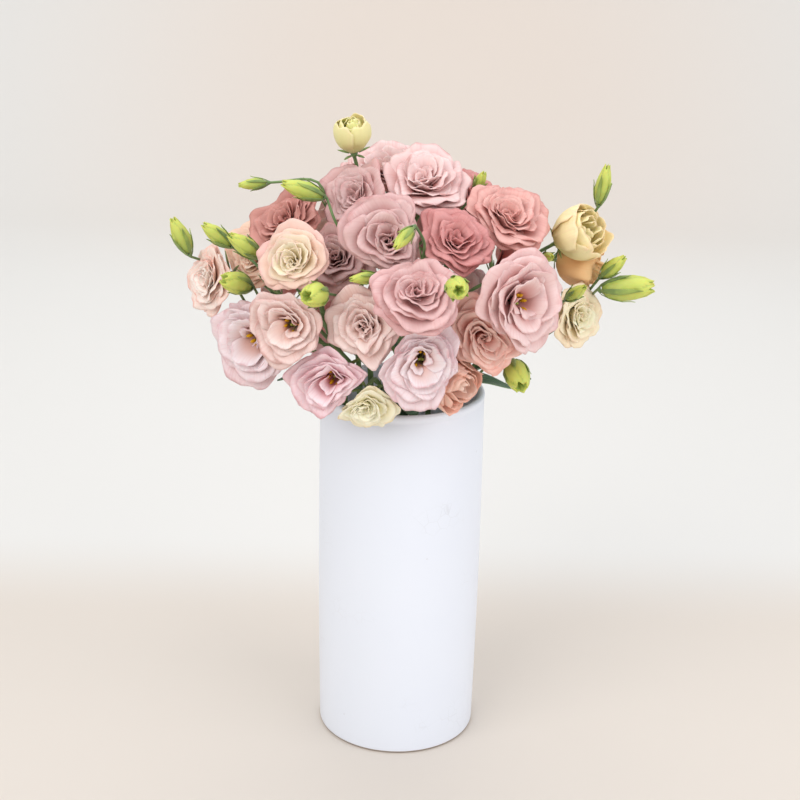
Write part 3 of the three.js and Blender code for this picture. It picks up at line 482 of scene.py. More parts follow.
class Shape:
    """Points, faces and marks of one piece, gathered from its parts."""

    def __init__(self, *marks):
        self.points, self.faces, self.count = [], [], 0
        self.marks = {mark: [] for mark in marks}

    def put(self, points, faces, **marks):
        points = np.asarray(points, float).reshape(-1, 3)
        self.points.append(points)
        self.faces += [tuple(i + self.count for i in face) for face in faces]
        self.count += len(points)
        for mark, rows in self.marks.items():
            rows.append(np.broadcast_to(np.ravel(marks.get(mark, 0.0)), len(points)))

    def tube(self, middles, radii, sides):
        """A round rod along a line of points, closed at both ends."""
        middles = np.asarray(middles, float)
        side = np.array([1.0, 0, 0])
        angles = np.arange(sides)[:, None] * 2 * np.pi / sides
        rings = []
        for middle, axis, radius in zip(middles, unit(np.gradient(middles, axis=0)), radii):
            side = unit(side - np.dot(side, axis) * axis)
            rings.append(middle + radius * (np.cos(angles) * side + np.sin(angles) * np.cross(axis, side)))
        self.put(np.concatenate(rings), closed_rings(len(rings), sides))

    def sheet(self, grid, thickness, **marks):
        """A thin closed sheet on both sides of a grid of points, with rows of the grid running across it."""
        rows, columns = grid.shape[:2]
        normal = unit(np.cross(np.gradient(grid, axis=1), np.gradient(grid, axis=0)) + 1e-12)
        points = np.concatenate([(grid + normal * thickness / 2).reshape(-1, 3),
                                 (grid - normal * thickness / 2).reshape(-1, 3)])
        n = rows * columns
        faces = []
        for j in range(rows - 1):
            for i in range(columns - 1):
                a = j * columns + i
                b, c, d = a + 1, a + columns + 1, a + columns
                faces += [(a, b, c, d), (a + n, d + n, c + n, b + n)]
        ring = list(range(columns)) + [j * columns + columns - 1 for j in range(1, rows)]
        ring += [(rows - 1) * columns + i for i in range(columns - 2, -1, -1)]
        ring += [j * columns for j in range(rows - 2, 0, -1)]
        faces += [(b, a, a + n, b + n) for a, b in zip(ring, ring[1:] + ring[:1])]
        doubled = {mark: np.concatenate([np.ravel(value)] * 2) if np.size(value) > 1 else value
                   for mark, value in marks.items()}
        self.put(points, faces, **doubled)

    def piece(self, name, material, node, slot):
        made = make_mesh(name, np.concatenate(self.points), self.faces,
                         {mark: np.concatenate(rows) for mark, rows in self.marks.items()})
        made.data.materials.append(material)
        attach(made, "root")
        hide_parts(node)


def stem_point(stem, z):
    foot = np.array([*stem["foot"], VASE["floor"]], float)
    mouth = np.array([*stem["mouth"], VASE["height"]], float)
    crown = np.array(stem["crown"], float) + [0, 0, VASE["height"]]
    low, high = (foot, mouth) if z < mouth[2] else (mouth, crown)
    return low + (high - low) * (z - low[2]) / (high[2] - low[2])


def bezier(controls, share):
    while len(controls) > 1:
        controls = [a + (b - a) * share for a, b in zip(controls, controls[1:])]
    return controls[0]


def branch_start(head, base):
    """Where a branch leaves its stem: lower for a head that is further from the stem."""
    crown = head.stem["crown"]
    side = math.hypot(base[0] - crown[0], base[1] - crown[1])
    lowest, highest = VASE["height"] - RUN["below_rim"], VASE["height"] + crown[2] - RUN["below_crown"]
    return stem_point(head.stem, min(max(base[2] - RUN["drop"] - RUN["slope"] * side, lowest), highest))


def branch_points(head):
    """The points of a branch: it runs between the other blooms, a little behind their hearts."""
    axes = head.axes
    base = axes.base - axes.axis * BRANCH["bud" if head.bud else "bloom"]["cup_length"]
    start = branch_start(head, base)
    last = seen_at(*head.via) if head.via else start
    into = base - axes.axis * min(RUN["into"] * np.linalg.norm(last - base), RUN["into_most"])
    shares = np.linspace(0, 1, RUN["fine"])
    if head.via:
        rise = np.array([last[0], last[1], (start[2] + last[2]) / 2])
        fine = [bezier([start, rise, last], t) for t in shares]
        fine += [bezier([last, into, base], t) for t in shares[1:]]
    else:
        leave = unit(np.array([base[0] - start[0], base[1] - start[1], 0])) + [0, 0, 1]
        away = start + leave * RUN["leave"] * np.linalg.norm(start - base)
        fine = [bezier([start, away, into, base], t) for t in shares]
    fine = np.array(fine)
    walked = np.concatenate([[0], np.cumsum(np.linalg.norm(np.diff(fine, axis=0), axis=1))])
    stops = np.linspace(0, walked[-1], RUN["points"] + 1)
    points = np.stack([np.interp(stops, walked, fine[:, i]) for i in range(3)], axis=1)
    blooms = [other for other in heads if other is not head and not other.bud]
    for _ in range(RUN["rounds"]):
        for k in range(1, RUN["points"] - 1):
            for other in blooms:
                away = points[k] - other.middle - RUN["heart"] * other.radius * other.axes.axis
                short = RUN["clear"] * other.radius - np.linalg.norm(away)
                if short > 0:
                    points[k] += unit(away) * RUN["push"] * short
            if not head.via:
                points[k] += RUN["ease"] * ((points[k - 1] + points[k + 1]) / 2 - points[k])
    return points


def smooth_line(points, steps):
    """Points along a curve that passes through the given ones and runs out of the first as it starts."""
    ends = np.concatenate([[2 * points[0] - points[1]], points, [2 * points[-1] - points[-2]]])
    line = []
    for k in range(1, len(ends) - 2):
        a, b, c, d = ends[k - 1:k + 3]
        for t in np.linspace(0, 1, steps, endpoint=False):
            line.append(0.5 * (2 * b + (c - a) * t + (2 * a - 5 * b + 4 * c - d) * t ** 2
                               + (3 * b - a - 3 * c + d) * t ** 3))
    return np.array(line + [points[-1]])


def blade(line, out, width, fullness, columns=BLADE["columns"], fold=BLADE["fold"]):
    """A grid of points for a narrow blade along a line. out is the direction that its upper face looks."""
    line = np.asarray(line)
    share = np.linspace(0, 1, len(line))
    reached = np.minimum(BLADE["root"] + (1 - BLADE["root"]) * share, BLADE["tip"])
    half = (width / 2 * np.sin(np.pi * reached) ** fullness)[:, None, None]
    along = unit(np.gradient(line, axis=0))
    across = unit(np.cross(along, out))
    up = np.cross(across, along)
    u = np.linspace(-1, 1, columns)[None, :, None]
    return line[:, None] + u * half * across[:, None] + fold * u ** 2 * half * up[:, None]


def green_skin(name, face, dark, pale, ridges):
    """Waxy green skin: matt, darker in patches and paler towards a tip, with fine lines along it."""
    skin = Skin(name, 0.5, 1.45, Sheen_Weight=0.15)
    patch = skin.noise(skin.where(), 1 / (14 * MM), 3.0)
    tipped = skin.mix(skin.mark("along"), face, pale)
    skin.drive("Base Color", skin.mix(skin.ramp(patch, 0.35, 0.75), tipped, dark))
    ribs = skin.maths("MULTIPLY", skin.mark("across"), ridges)
    skin.relief(skin.maths("SINE", ribs), 0.3, 0.15)
    return skin.material


def put_sepals(shape, head):
    axes, radius = head.axes, head.radius
    t = np.linspace(0, 1, SEPAL["steps"])
    for i in range(SEPAL["count"]):
        a = 2 * math.pi * (i + 0.5) / SEPAL["count"]
        if head.bud:
            length = BUD_SEPAL["lengths"][i]
            bulge = np.interp(t * length, BUD_SEPAL["up"], BUD_SEPAL["out"])
            out = radius * bulge + BUD_SEPAL["proud"] + BUD_SEPAL["tip"] * t ** 6
            rise = length * head.length * t - 0.5
            width = max(BUD_SEPAL["narrowest"], 0.36 * radius + 0.8)
            shade, fold = 0.4 + 0.6 * t, -width / (4 * radius)
            face = unit(axes.at(math.cos(a), math.sin(a), 0) - axes.base)
        else:
            reach = SEPAL["reach"] * (SEPAL["closed"] if head.kind in ("half", "tulip") else 1)
            lean = np.radians(SEPAL["lean"][0] + SEPAL["lean"][1] * t)
            out = SEPAL["start"][0] + np.cumsum(np.sin(lean)) * reach / len(t)
            rise = SEPAL["start"][1] + np.cumsum(np.cos(lean)) * reach / len(t) * SEPAL["flat"]
            width, shade, fold = SEPAL["width"], 0.5 * t, BLADE["fold"]
            face = -axes.axis
        line = axes.at(out * math.cos(a), out * math.sin(a), rise)
        grid = blade(line, face, width, SEPAL["fullness"], fold=fold)
        across, along = np.meshgrid(np.linspace(-1, 1, grid.shape[1]), shade)
        shape.sheet(grid, SEPAL["thickness"], along=along, across=across)


def put_bracts(shape, line):
    """A pair of small bracts on a branch, opposite each other."""
    k = int(BRACT["at"] * (len(line) - 1))
    along = unit(line[k + 1] - line[k])
    side = unit(np.cross(along, [0.3, 1, 0.2]))
    t = np.linspace(0, 1, 6)[:, None]
    start, spread = BRACT["out"]
    for way in (1, -1):
        out = line[k] + side * way * (start + spread * t ** 1.4) + along * BRACT["length"] * t
        grid = blade(out, side * way, BRACT["width"], BRACT["fullness"], columns=3)
        shape.sheet(grid, SEPAL["thickness"], along=0.2)


STEM_GREEN = green_skin("waxy_green_stem", "#74925a", "#526f42", "#a9bd58", 9.0)
for stem_name, stem in STEMS.items():
    greens = Shape("along", "across")
    carried = [head for head in heads if head.stem is stem]
    lines = [smooth_line(branch_points(head), 5) for head in carried]
    rim, outside = VASE["height"], VASE["height"] + STEM["past_rim"]
    top = max([outside] + [line[0][2] + 2 for line in lines])
    levels = np.concatenate([np.linspace(VASE["floor"] + STEM["lift"], rim, STEM["levels"]),
                             np.linspace(outside, top, STEM["levels"])])
    radii = [STEM["radius"] * (STEM["above"] if z > rim else STEM["in_vase"]) for z in levels]
    greens.tube([stem_point(stem, z) for z in levels], radii, STEM["sides"])
    for head, line in zip(carried, lines):
        sizes = BRANCH["bud" if head.bud else "bloom"]
        thin, cup = sizes["radius"], sizes["cup"] or 0.3 * head.radius + 0.7
        end = [head.axes.base - head.axes.axis * sizes["cup_length"] * s for s in BRANCH["cup_steps"]]
        steps = len(line)
        widths = [thin * (1 + BRANCH["taper"] - BRANCH["taper"] * k / steps) for k in range(steps)]
        widths += [thin + (cup - thin) * s for s in BRANCH["cup_shares"]]
        greens.tube(np.concatenate([line, end]), widths, BRANCH["sides"])
        put_sepals(greens, head)
        if np.linalg.norm(line[-1] - line[0]) > BRACT["branch"]:
            put_bracts(greens, line)
    greens.piece("green_" + stem_name, STEM_GREEN, stem_name, "leaf_green")


# The leaves grow from the stems near the rim, ovate and pointed, thick and blue-green, with a pale midrib
# and two lesser veins each side that run with it to the tip.
LEAF = {"thickness": 0.7, "arch": 0.14, "fold": 0.22, "rows": 18, "columns": 9, "wave": 0.05, "fullness": 0.9,
        "face": "#5a7f63", "dark": "#3d6048", "vein": "#8fae7d", "vein_strength": 0.45}


def leaf_grid(stem, leaf, turn):
    axes = Axes(stem_point(stem, VASE["height"] + leaf.height), facing(*leaf.face))
    u, v = np.meshgrid(np.linspace(-1, 1, LEAF["columns"]), np.linspace(0, 1, LEAF["rows"]))
    reached = np.minimum(0.06 + 0.93 * v ** 0.9, 0.99)
    half = leaf.width / 2 * np.sin(np.pi * reached) ** LEAF["fullness"]
    arch = leaf.length * LEAF["arch"] * np.sin(np.pi * v * 1.2)
    wave = LEAF["wave"] * leaf.width * np.sin(5 * v + turn) * np.abs(u) ** 1.5
    return axes.at(u * half, arch + LEAF["fold"] * half * u ** 2 + wave, leaf.length * v), u, v


def leaf_skin():
    """Leaf skin: a waxy blue-green cuticle, darker between pale veins."""
    skin = Skin("waxy_leaf", 0.42, 1.45, Sheen_Weight=0.1)
    side = skin.maths("ABSOLUTE", skin.mark("across"))
    # Veins at the middle and at about a third and two thirds of the way out
    wave = skin.maths("COSINE", skin.maths("MULTIPLY", side, 3 * 2 * math.pi))
    vein = skin.ramp(wave, 0.86, 1.0)
    green = skin.mix(skin.noise(skin.where(), 1 / (9 * MM), 4.0), LEAF["face"], LEAF["dark"])
    faint = skin.maths("MULTIPLY", vein, LEAF["vein_strength"])
    skin.drive("Base Color", skin.mix(faint, green, LEAF["vein"]))
    skin.relief(vein, 0.5, 0.4)
    return skin.material


LEAF_SKIN = leaf_skin()
for stem_name, stem in STEMS.items():
    leaves = Shape("along", "across")
    for k, leaf in enumerate(stem["leaves"]):
        grid, u, v = leaf_grid(stem, leaf, k)
        leaves.sheet(grid, LEAF["thickness"], along=v, across=u)
    leaves.piece("leaves_" + stem_name, LEAF_SKIN, stem_name, "leaf_green")


# The blooms are double: whorls of broad thin petals, the outer ones reflexed and ruffled at the edge, the
# inner ones cupped round a closed heart or an open throat. Sizes are in multiples of the bloom's radius.
# lean is a petal's angle from the bloom's axis at its root, middle and edge, in degrees.
PETAL = {"thickness": 0.42, "columns": (21, 21, 19, 17, 13, 11, 9), "rows": 12, "crowded": 1.2, "steps": 40,
         "corner": 0.15, "claw": 0.2, "widest": 0.78, "widest_angle": 2.2, "seed": 100, "outer_whorls": 3}
# What differs between petals: the least of each, and how much is added at random
VARY = {"length": (0.9, 0.16), "waves": (0.9, 0.7), "roll": (-0.05, 0.16), "curl": (-0.02, 0.1),
        "over": (0.05, 0.03)}
# What differs to either side of none: the whole range. opening is in degrees
SWAY = {"slant": 0.05, "opening": 0.6632, "turn": 0.3, "inner_turn": 0.06}
Whorl = namedtuple("Whorl", "count length lean width ruffle")
WHORLS = {
    "full": [
        Whorl(5, 1.24, (66, 14, 112), 0.9, 0.075),
        Whorl(5, 1.16, (58, 8, 98), 0.86, 0.08),
        Whorl(4, 1.04, (50, 2, 80), 0.86, 0.09),
        Whorl(4, 0.93, (42, -2, 56), 0.7, 0.085),
        Whorl(3, 0.84, (36, -6, 40), 0.56, 0.085),
        Whorl(3, 0.72, (28, -6, 22), 0.38, 0.075),
        Whorl(2, 0.56, (20, -6, 4), 0.26, 0.06),
    ],
    "open": [
        Whorl(5, 1.24, (66, 14, 106), 0.9, 0.07),
        Whorl(5, 1.17, (62, 8, 86), 0.86, 0.075),
        Whorl(5, 1.06, (58, 4, 66), 0.76, 0.075),
        Whorl(4, 0.93, (52, 0, 44), 0.58, 0.06),
        Whorl(2, 0.7, (46, -4, 22), 0.36, 0.04),
    ],
    "half": [
        Whorl(5, 2.05, (92, 6, -12), 0.86, 0.065),
        Whorl(5, 1.92, (80, 2, -18), 0.72, 0.055),
        Whorl(4, 1.78, (60, -2, -20), 0.54, 0.03),
        Whorl(3, 1.66, (34, -4, -16), 0.32, 0.03),
    ],
    "tulip": [
        Whorl(4, 2.12, (74, 16, -30), 0.84, 0.04),
        Whorl(4, 1.98, (60, 10, -36), 0.64, 0.035),
        Whorl(3, 1.86, (44, 2, -34), 0.46, 0.03),
        Whorl(3, 1.76, (26, 0, -22), 0.3, 0.025),
        Whorl(2, 1.68, (8, 0, -12), 0.18, 0.02),
    ],
}
# The petals' colours: at the edge, on the face, in the folds near the claw, and in the throat. The fold
# and throat colours are partly the petal's own deeper colour near the claw and partly painted shade of
# the folds between petals and of the throat.
# Painted light: shell_pink, apricot, salmon, ivory and amber are made lighter to make up for the shade that
# their blooms sit in, beside their neighbours and at the edges of the bunch
SKINS = {
    "blush": ("#d08884", "#f9dfdc", "#c66e64", "#a04838"),
    "rose": ("#bd6866", "#f0cdcb", "#ae4c46", "#762c2a"),
    "shell": ("#cc857c", "#fde9e3", "#dc9a80", "#74421c"),
    "shell_pink": ("#ffa898", "#ffe0d4", "#ff8e7a", "#d07a62"),
    "lilac": ("#d8949a", "#fdf1f4", "#e6b6a8", "#6a5022"),
    "orchid": ("#d97d88", "#ffebef", "#d97a80", "#7c5026"),
    "mauve": ("#b96968", "#eccdca", "#a85248", "#582826"),
    "deep": ("#a84849", "#e2a5a1", "#88302c", "#5c1e1e"),
    "coral": ("#c3635c", "#f3c5bc", "#aa4438", "#783026"),
    "brick": ("#aa584f", "#dda49a", "#8a3e34", "#623024"),
    "apricot": ("#ffa08c", "#fff8f0", "#ffb89c", "#e4a870"),
    "peach": ("#ee9f84", "#ffead6", "#f0a884", "#c89450"),
    "salmon": ("#f9a68c", "#ffdfcf", "#ffc4a8", "#f0ac8c"),
    "cream": ("#efb8b4", "#faeed2", "#e8d28e", "#988a2c"),
    "ivory": ("#ffd6b6", "#fffadc", "#fff1c0", "#f6da84"),
    "primrose": ("#fbcbae", "#fff3bc", "#f8ea9a", "#c2d046"),
    "lemon": ("#fadca8", "#fffce4", "#faf0a6", "#c4c44a"),
    "amber": ("#f2a96e", "#ffdca8", "#ffce94", "#e8cc80"),
    "lime": ("#fce0c6", "#eef09c", "#c8da58", "#88ac2c"),
}
# How far the outermost petals of a bloom are towards their edge colour
OUTER_BLUSH = {"cream": 0.85, "ivory": 0.5, "primrose": 0.2, "lemon": 0.2, "lime": 0.5}
USUAL_BLUSH = 0.3
SLOTS = {name: "petal_pink" for name in SKINS}
SLOTS.update({name: "petal_cream" for name in ("cream", "ivory", "primrose", "lemon", "lime")})
SLOTS.update({name: "petal_peach" for name in ("apricot", "peach", "amber", "salmon")})
# The room that a bloom has: its depth ahead and behind, and what it keeps off, in millimetres
ROOM = {"ahead": 0.35, "behind": 0.7, "least": 6, "bud": 1.5, "wall": 1, "down": (2, 14, 28),
        "rim_points": 36, "bud_shares": (0.2, 0.5, 0.8), "margin": 1.1, "blend": 20, "ease": 12}


def reach(head, directions):
    """How far a bloom's petals reach from its middle in some directions."""
    along = directions @ head.axes.axis
    depth = np.where(along > 0, ROOM["ahead"], ROOM["behind"])
    return head.radius * (np.sqrt(np.maximum(0, 1 - along ** 2)) + depth * np.abs(along))


def walls_of(head):
    """What a bloom has to keep clear of, as directions from its middle and the room in each."""
    directions, rooms = [], []

    def keep_off(point, size):
        towards = point - head.middle
        distance = np.linalg.norm(towards)
        directions.append(towards / distance)
        rooms.append(max(distance - size, ROOM["least"]))

    for other in heads:
        if other is head:
            continue
        if other.bud:
            for share in ROOM["bud_shares"]:
                keep_off(other.axes.at(0, 0, share * other.length), other.radius + ROOM["bud"])
        else:
            distance = np.linalg.norm(other.middle - head.middle)
            towards = unit(other.middle - head.middle)
            mine, theirs = reach(head, towards), reach(other, -towards)
            directions.append(towards)
            rooms.append(distance * mine / (mine + theirs))
    out = VASE["rim"] - VASE["wall"] / 2
    for a in np.arange(0, 2 * np.pi, 2 * np.pi / ROOM["rim_points"]):
        for down in ROOM["down"]:
            rim = np.array([out * math.cos(a), out * math.sin(a), VASE["height"] - down])
            keep_off(rim, VASE["wall"] / 2 + ROOM["wall"])
    return np.array(directions), np.array(rooms)


def pressed(head, points):
    """A crowded bloom is smaller on the side where its neighbours are."""
    directions, rooms = head.walls
    out = points - head.middle
    distance = np.linalg.norm(out, axis=-1, keepdims=True)
    out = out / np.maximum(distance, 1e-9)
    nearness = np.maximum(out @ (directions / rooms[:, None]).T, 0) ** ROOM["blend"]
    crowding = np.sum(nearness, axis=-1, keepdims=True)
    room = 1 / np.maximum(crowding, 1e-60) ** (1 / ROOM["blend"])
    far = reach(head, out)[..., None] * ROOM["margin"]
    eased = distance * (1 + (far / room) ** ROOM["ease"]) ** (-1 / ROOM["ease"])
    return head.middle + out * np.minimum(eased, room)


def petal_profile(whorl, root, length, opening):
    """Distance from the axis, height and lean along a petal, from its root to its edge."""
    steps = PETAL["steps"]
    share = (np.arange(steps) + 0.5) / steps
    low, middle, edge = whorl.lean
    lean = low * (1 - share) ** 2 + middle * 2 * share * (1 - share) + edge * share ** 2
    lean = np.radians(lean + opening * share)
    out = root[0] + np.concatenate([[0], np.cumsum(np.sin(lean))]) * length / steps
    rise = root[1] + np.concatenate([[0], np.cumsum(np.cos(lean))]) * length / steps
    return out, rise, np.concatenate([lean[:1], lean])


def petal_grid(head, whorl, level, turn, draw):
    """The middle surface of a petal. It widens from its claw to a broad round end, and one side of it lies
    over its neighbour and the other under. Its edge rolls back and is ruffled."""

    def vary(what):
        return VARY[what][0] + VARY[what][1] * draw.random()

    u, v = np.meshgrid(np.linspace(-1, 1, PETAL["columns"][level]), np.linspace(0, 1, PETAL["rows"]))
    v = 1 - (1 - v) ** PETAL["crowded"]
    length = whorl.length * vary("length")
    phases = 2 * np.pi * draw.random(6)
    notch = (0.025 * np.cos(2 * np.pi * u) + 0.018 * np.sin(7.5 * u + phases[4])) * v ** 4
    slant = SWAY["slant"] * (draw.random() - 0.5) * u
    share = np.clip(v * (1 - PETAL["corner"] * np.abs(u) ** 2.2 + slant) - notch, 0, 1)
    root = (0.08 - 0.012 * level, 0.02 + 0.03 * level)
    out, rise, lean = petal_profile(whorl, root, length, SWAY["opening"] * (draw.random() - 0.5))
    steps = np.linspace(0, 1, len(out))
    r, z, a = (np.interp(share, steps, values) for values in (out, rise, lean))
    widening = np.sin(np.pi / 2 * np.minimum(share / PETAL["widest"], 1)) ** 1.1
    half = whorl.width * (PETAL["claw"] + (1 - PETAL["claw"]) * widening)
    angle = turn + u * np.minimum(half / (r + 0.07), PETAL["widest_angle"])
    waves = vary("waves")
    ruffle = whorl.ruffle * share ** 2 * np.sin(np.pi * waves * u + phases[0])
    frill = 0.36 * whorl.ruffle * share ** 7 * np.sin(2 * np.pi * (0.9 + waves) * u + phases[1] + 2 * v)
    crease = 0.01 * np.sin(5 * u + phases[2]) * np.sin(4 * v + phases[3]) * share
    roll = vary("roll") * np.abs(u) ** 3 * share
    curl = vary("curl") * np.clip(share - 0.7, 0, 1) * np.cos(np.pi * waves * u + phases[5])
    over = vary("over") * u * np.minimum(2 * share, 1)
    lift = over + ruffle + frill + crease + roll - curl
    r, z = r + lift * np.cos(a), z - lift * np.sin(a)
    R = head.radius
    return pressed(head, head.axes.at(R * r * np.cos(angle), R * r * np.sin(angle), R * z)), u, v


def petal_skin(name, edge, face, fold, throat):
    """Petal skin: thin and soft, with light coming through it, fine veins that fan out from the claw, a
    deeper edge, and a deeper colour towards the claw, which is partly the petal's own and partly painted
    shade of the folds and the throat."""
    skin = Skin("petal_" + name, 0.62, 1.38, Sheen_Weight=0.08, Sheen_Roughness=0.5, Specular_IOR_Level=0.25,
                Subsurface_Weight=0.12, Subsurface_Scale=1 * MM, Subsurface_Radius=(1.0, 0.7, 0.6))
    across, along, tint, outer = (skin.mark(key) for key in ("across", "along", "tint", "outer"))
    # Partly painted shade: towards the claw the colour deepens from the face colour to the fold colour, then
    # to the throat colour
    lower = skin.mix(skin.ramp(along, 0.12, 0.42), throat, fold)
    upper = skin.mix(skin.ramp(along, 0.42, 1.0, smooth=True), lower, face)
    blush = skin.maths("MULTIPLY", outer, OUTER_BLUSH.get(name, USUAL_BLUSH))
    ground = skin.mix(blush, upper, edge)
    # The edge is deeper in an uneven band a few millimetres wide
    cloud = skin.noise(skin.where(), 1 / (11 * MM), 3.0)
    uneven = skin.maths("MULTIPLY_ADD", cloud, 0.3, -0.15)
    side = skin.maths("POWER", skin.maths("ABSOLUTE", across), 3.0)
    ragged = skin.maths("ADD", skin.maths("MAXIMUM", along, side), uneven)
    edged = skin.mix(skin.ramp(ragged, 0.92, 1.06, high=0.65, smooth=True), ground, edge)
    # Veins: streaks across the petal's width that run along it
    fan = skin.add("CombineXYZ", {"X": across, "Y": along, "Z": tint})[0]
    fine = skin.add("VectorMath", {0: fan, 1: (22.0, 1.6, 40.0)}, operation="MULTIPLY")[0]
    veins = skin.noise(fine, 1.0, 3.0)
    veined = skin.mix(skin.ramp(veins, 0.5, 0.75, high=0.28), edged, edge)
    # Each petal is a little lighter or deeper than the next
    skin.drive("Base Color", skin.mix(skin.ramp(tint, 0, 1, high=0.35), veined, face))
    skin.relief(veins, 0.35, 0.35)
    return skin.material


PETAL_SKINS = {name: petal_skin(name, *colours) for name, colours in SKINS.items()}
for number, head in enumerate(heads):
    if head.bud:
        continue
    head.walls = walls_of(head)
    draw = np.random.default_rng(PETAL["seed"] + number)
    petals = Shape("across", "along", "tint", "outer")
    start = 2 * math.pi * draw.random()
    for level, whorl in enumerate(WHORLS[head.kind]):
        sway = SWAY["turn"] + SWAY["inner_turn"] * level
        for k in range(whorl.count):
            turn = start + 2 * math.pi * (k + 0.5 * level + sway * (draw.random() - 0.5)) / whorl.count
            grid, u, v = petal_grid(head, whorl, level, turn, draw)
            outer = max(0, 1 - level / PETAL["outer_whorls"])
            petals.sheet(grid, PETAL["thickness"], across=u, along=v, tint=draw.random(), outer=outer)
    petals.piece("petals_" + head.name, PETAL_SKINS[head.skin], head.name, SLOTS[head.skin])


# The stamens stand in the throat of an open bloom round a green pistil with a two-lobed stigma: thin
# pale filaments, each with a slim golden anther.
STAMENS = {"count": 8, "seed": 500, "filament": 0.32, "sides": 6, "anther": 1.4, "anther_length": 5.8,
           "anther_lean": 1.6, "anther_shape": (0.35, 0.9, 1, 0.85, 0.3)}
PISTIL = {"low": 0.05, "high": 0.42, "widths": (1.6, 1.4, 0.9, 0.8, 0.9), "sides": 8, "rise": 1.2,
          "lobe": (0.4, 1.6), "lobe_widths": (0.7, 1.0, 1.0, 0.5)}
POLLEN = {"light": "#f5c81e", "dark": "#c08a10", "grain": 0.8}


def pollen_skin():
    """Anther skin: dry golden pollen over darker yellow."""
    skin = Skin("golden_pollen", 0.8, 1.4)
    grain = skin.add("TexNoise", {"Scale": 1 / (POLLEN["grain"] * MM), "Detail": 2.0})["Fac"]
    skin.drive("Base Color", skin.mix(grain, POLLEN["light"], POLLEN["dark"]))
    return skin.material


POLLEN_SKIN = pollen_skin()
PISTIL_SKIN = green_skin("pistil_green", "#a9b54e", "#8a9a3d", "#c3cb63", 4.0)
for number, head in enumerate(heads):
    if head.kind != "open":
        continue
    draw = np.random.default_rng(STAMENS["seed"] + number)
    axes, R = head.axes, head.radius
    gold, green = Shape("along", "across"), Shape("along", "across")
    t, s = np.linspace(0, 1, 6), np.linspace(-0.5, 0.5, 5)
    for k in range(STAMENS["count"]):
        a = 2 * math.pi * (k + 0.3 * draw.random()) / STAMENS["count"]
        out = R * (0.03 + 0.14 * t)
        rise = R * (0.1 + (0.34 + 0.08 * draw.random()) * t)
        filament = axes.at(out * math.cos(a), out * math.sin(a), rise)
        green.tube(filament, [STAMENS["filament"]] * len(t), STAMENS["sides"])
        out, rise = out[-1] + s * STAMENS["anther_lean"], rise[-1] + s * STAMENS["anther_length"]
        anther = axes.at(out * math.cos(a), out * math.sin(a), rise)
        gold.tube(anther, STAMENS["anther"] * np.array(STAMENS["anther_shape"]), STAMENS["sides"])
    column = R * np.linspace(PISTIL["low"], PISTIL["high"], 5)
    green.tube(axes.at(0 * column, 0 * column, column), PISTIL["widths"], PISTIL["sides"])
    t = np.linspace(0, 1, 4)
    for way in (-1, 1):
        out = way * (PISTIL["lobe"][0] + PISTIL["lobe"][1] * t)
        lobe = axes.at(out, 0 * t, R * PISTIL["high"] + PISTIL["rise"] * t)
        green.tube(lobe, PISTIL["lobe_widths"], STAMENS["sides"])
    gold.piece("anthers_" + head.name, POLLEN_SKIN, head.name, SLOTS[head.skin])
    green.piece("pistil_" + head.name, PISTIL_SKIN, head.name, SLOTS[head.skin])


# The buds are closed: five petals wound round each other in a spindle, lime green and painted darker
# just under each overlapping edge, which is painted shade, with their twisted tips standing free. A plump
# one has begun to open at its end.
BUD = {"petals": 5, "around": 40, "rows": 22, "large": 8, "plump": 0.6, "twist": 1.1, "base": 0.4,
       "ragged": 0.06, "ridge": 0.16, "sharp": 1.2}
BUD_COLOURS = {"base": "#86a142", "tip": "#cdd660", "fold": "#7d9a3c", "pale": "#e3e691"}
# The outline of each sort of bud, from its base round its tip: how far up, and how wide
BUD_OUTLINES = {
    "plump": {"up": (0, 0.12, 0.35, 0.62, 0.88, 0.99, 0.9, 0.66),
              "wide": (0.32, 0.7, 1.0, 0.98, 0.76, 0.54, 0.38, 0.02)},
    "large": {"up": (0, 0.12, 0.36, 0.64, 0.86, 0.98, 0.95, 0.86),
              "wide": (0.3, 0.7, 1.0, 0.98, 0.78, 0.5, 0.36, 0.02)},
    "small": {"up": (0, 0.16, 0.4, 0.66, 0.86, 0.98, 0.96, 0.9),
              "wide": (0.32, 0.74, 1.0, 0.88, 0.62, 0.38, 0.24, 0.02)},
}


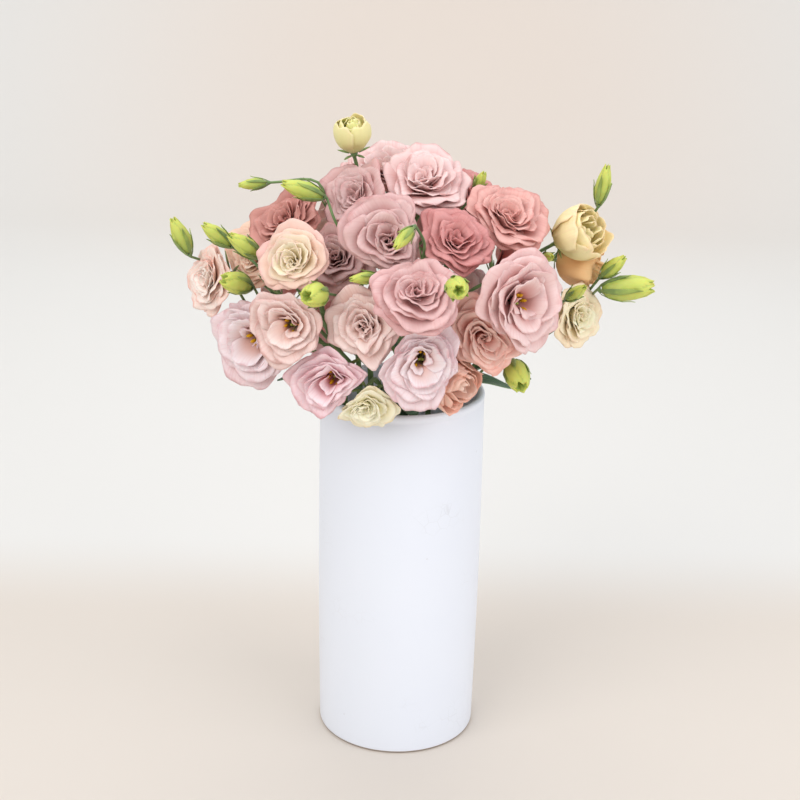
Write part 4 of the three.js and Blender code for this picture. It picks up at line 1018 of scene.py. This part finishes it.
def bud_skin():
    """Bud skin: smooth young petal, lime green, darker at the base, and darker in the folds under each
    overlap, which is painted shade.
    """
    skin = Skin("young_petal_lime", 0.45, 1.4, Subsurface_Weight=0.25, Subsurface_Scale=2 * MM)
    ground = skin.mix(skin.ramp(skin.mark("along"), 0, 0.75), BUD_COLOURS["base"], BUD_COLOURS["tip"])
    # Painted shade: darker where each petal tucks under the edge of the one over it
    fold = skin.ramp(skin.mark("across"), 0, 0.3, 0.65, 0)
    folded = skin.mix(fold, ground, BUD_COLOURS["fold"])
    cloud = skin.noise(skin.where(), 1 / (5 * MM), 3.0)
    skin.drive("Base Color", skin.mix(skin.maths("MULTIPLY", cloud, 0.35), folded, BUD_COLOURS["pale"]))
    skin.relief(cloud, 0.15, 0.3)
    return skin.material


def bud_shape(head):
    R, L = head.radius, head.length
    plump = 2 * R / L > BUD["plump"]
    outline = BUD_OUTLINES["plump" if plump else "large" if R > BUD["large"] else "small"]
    index = np.arange(len(outline["up"]))
    walk = np.linspace(0, index[-1], BUD["rows"])
    rise, wide = (np.interp(walk, index, outline[key])[:, None] for key in ("up", "wide"))
    angles = np.arange(BUD["around"]) * 2 * np.pi / BUD["around"]
    # The last two steps of the outline turn in behind the tip
    a, share = np.meshgrid(angles, np.minimum(walk / (len(index) - 3), 1))
    petal = (BUD["petals"] * a / (2 * np.pi) + BUD["twist"] * share) % 1
    ridge = 1 - BUD["ridge"] * share * (1 - petal) ** 2 * (1 if plump else BUD["sharp"])
    radius = R * wide * ridge
    ragged = BUD["ragged"] * L * share ** 6 * np.sin(2 * np.pi * petal) * (wide > 0.1)
    height = BUD["base"] + (L - BUD["base"]) * rise + ragged
    shape = Shape("across", "along")
    points = head.axes.at(radius * np.cos(a), radius * np.sin(a), height)
    # Painted shade: the part that turns in behind the tip takes the darker colour of the base, as shade in
    # the opening
    along = share * np.where(walk[:, None] > len(index) - 2.5, 0.2, 1)
    shape.put(points, closed_rings(BUD["rows"], BUD["around"]), across=petal, along=along)
    return shape


BUD_SKIN = bud_skin()
for head in heads:
    if head.bud:
        bud_shape(head).piece("spindle_" + head.name, BUD_SKIN, head.name, "bud_green")
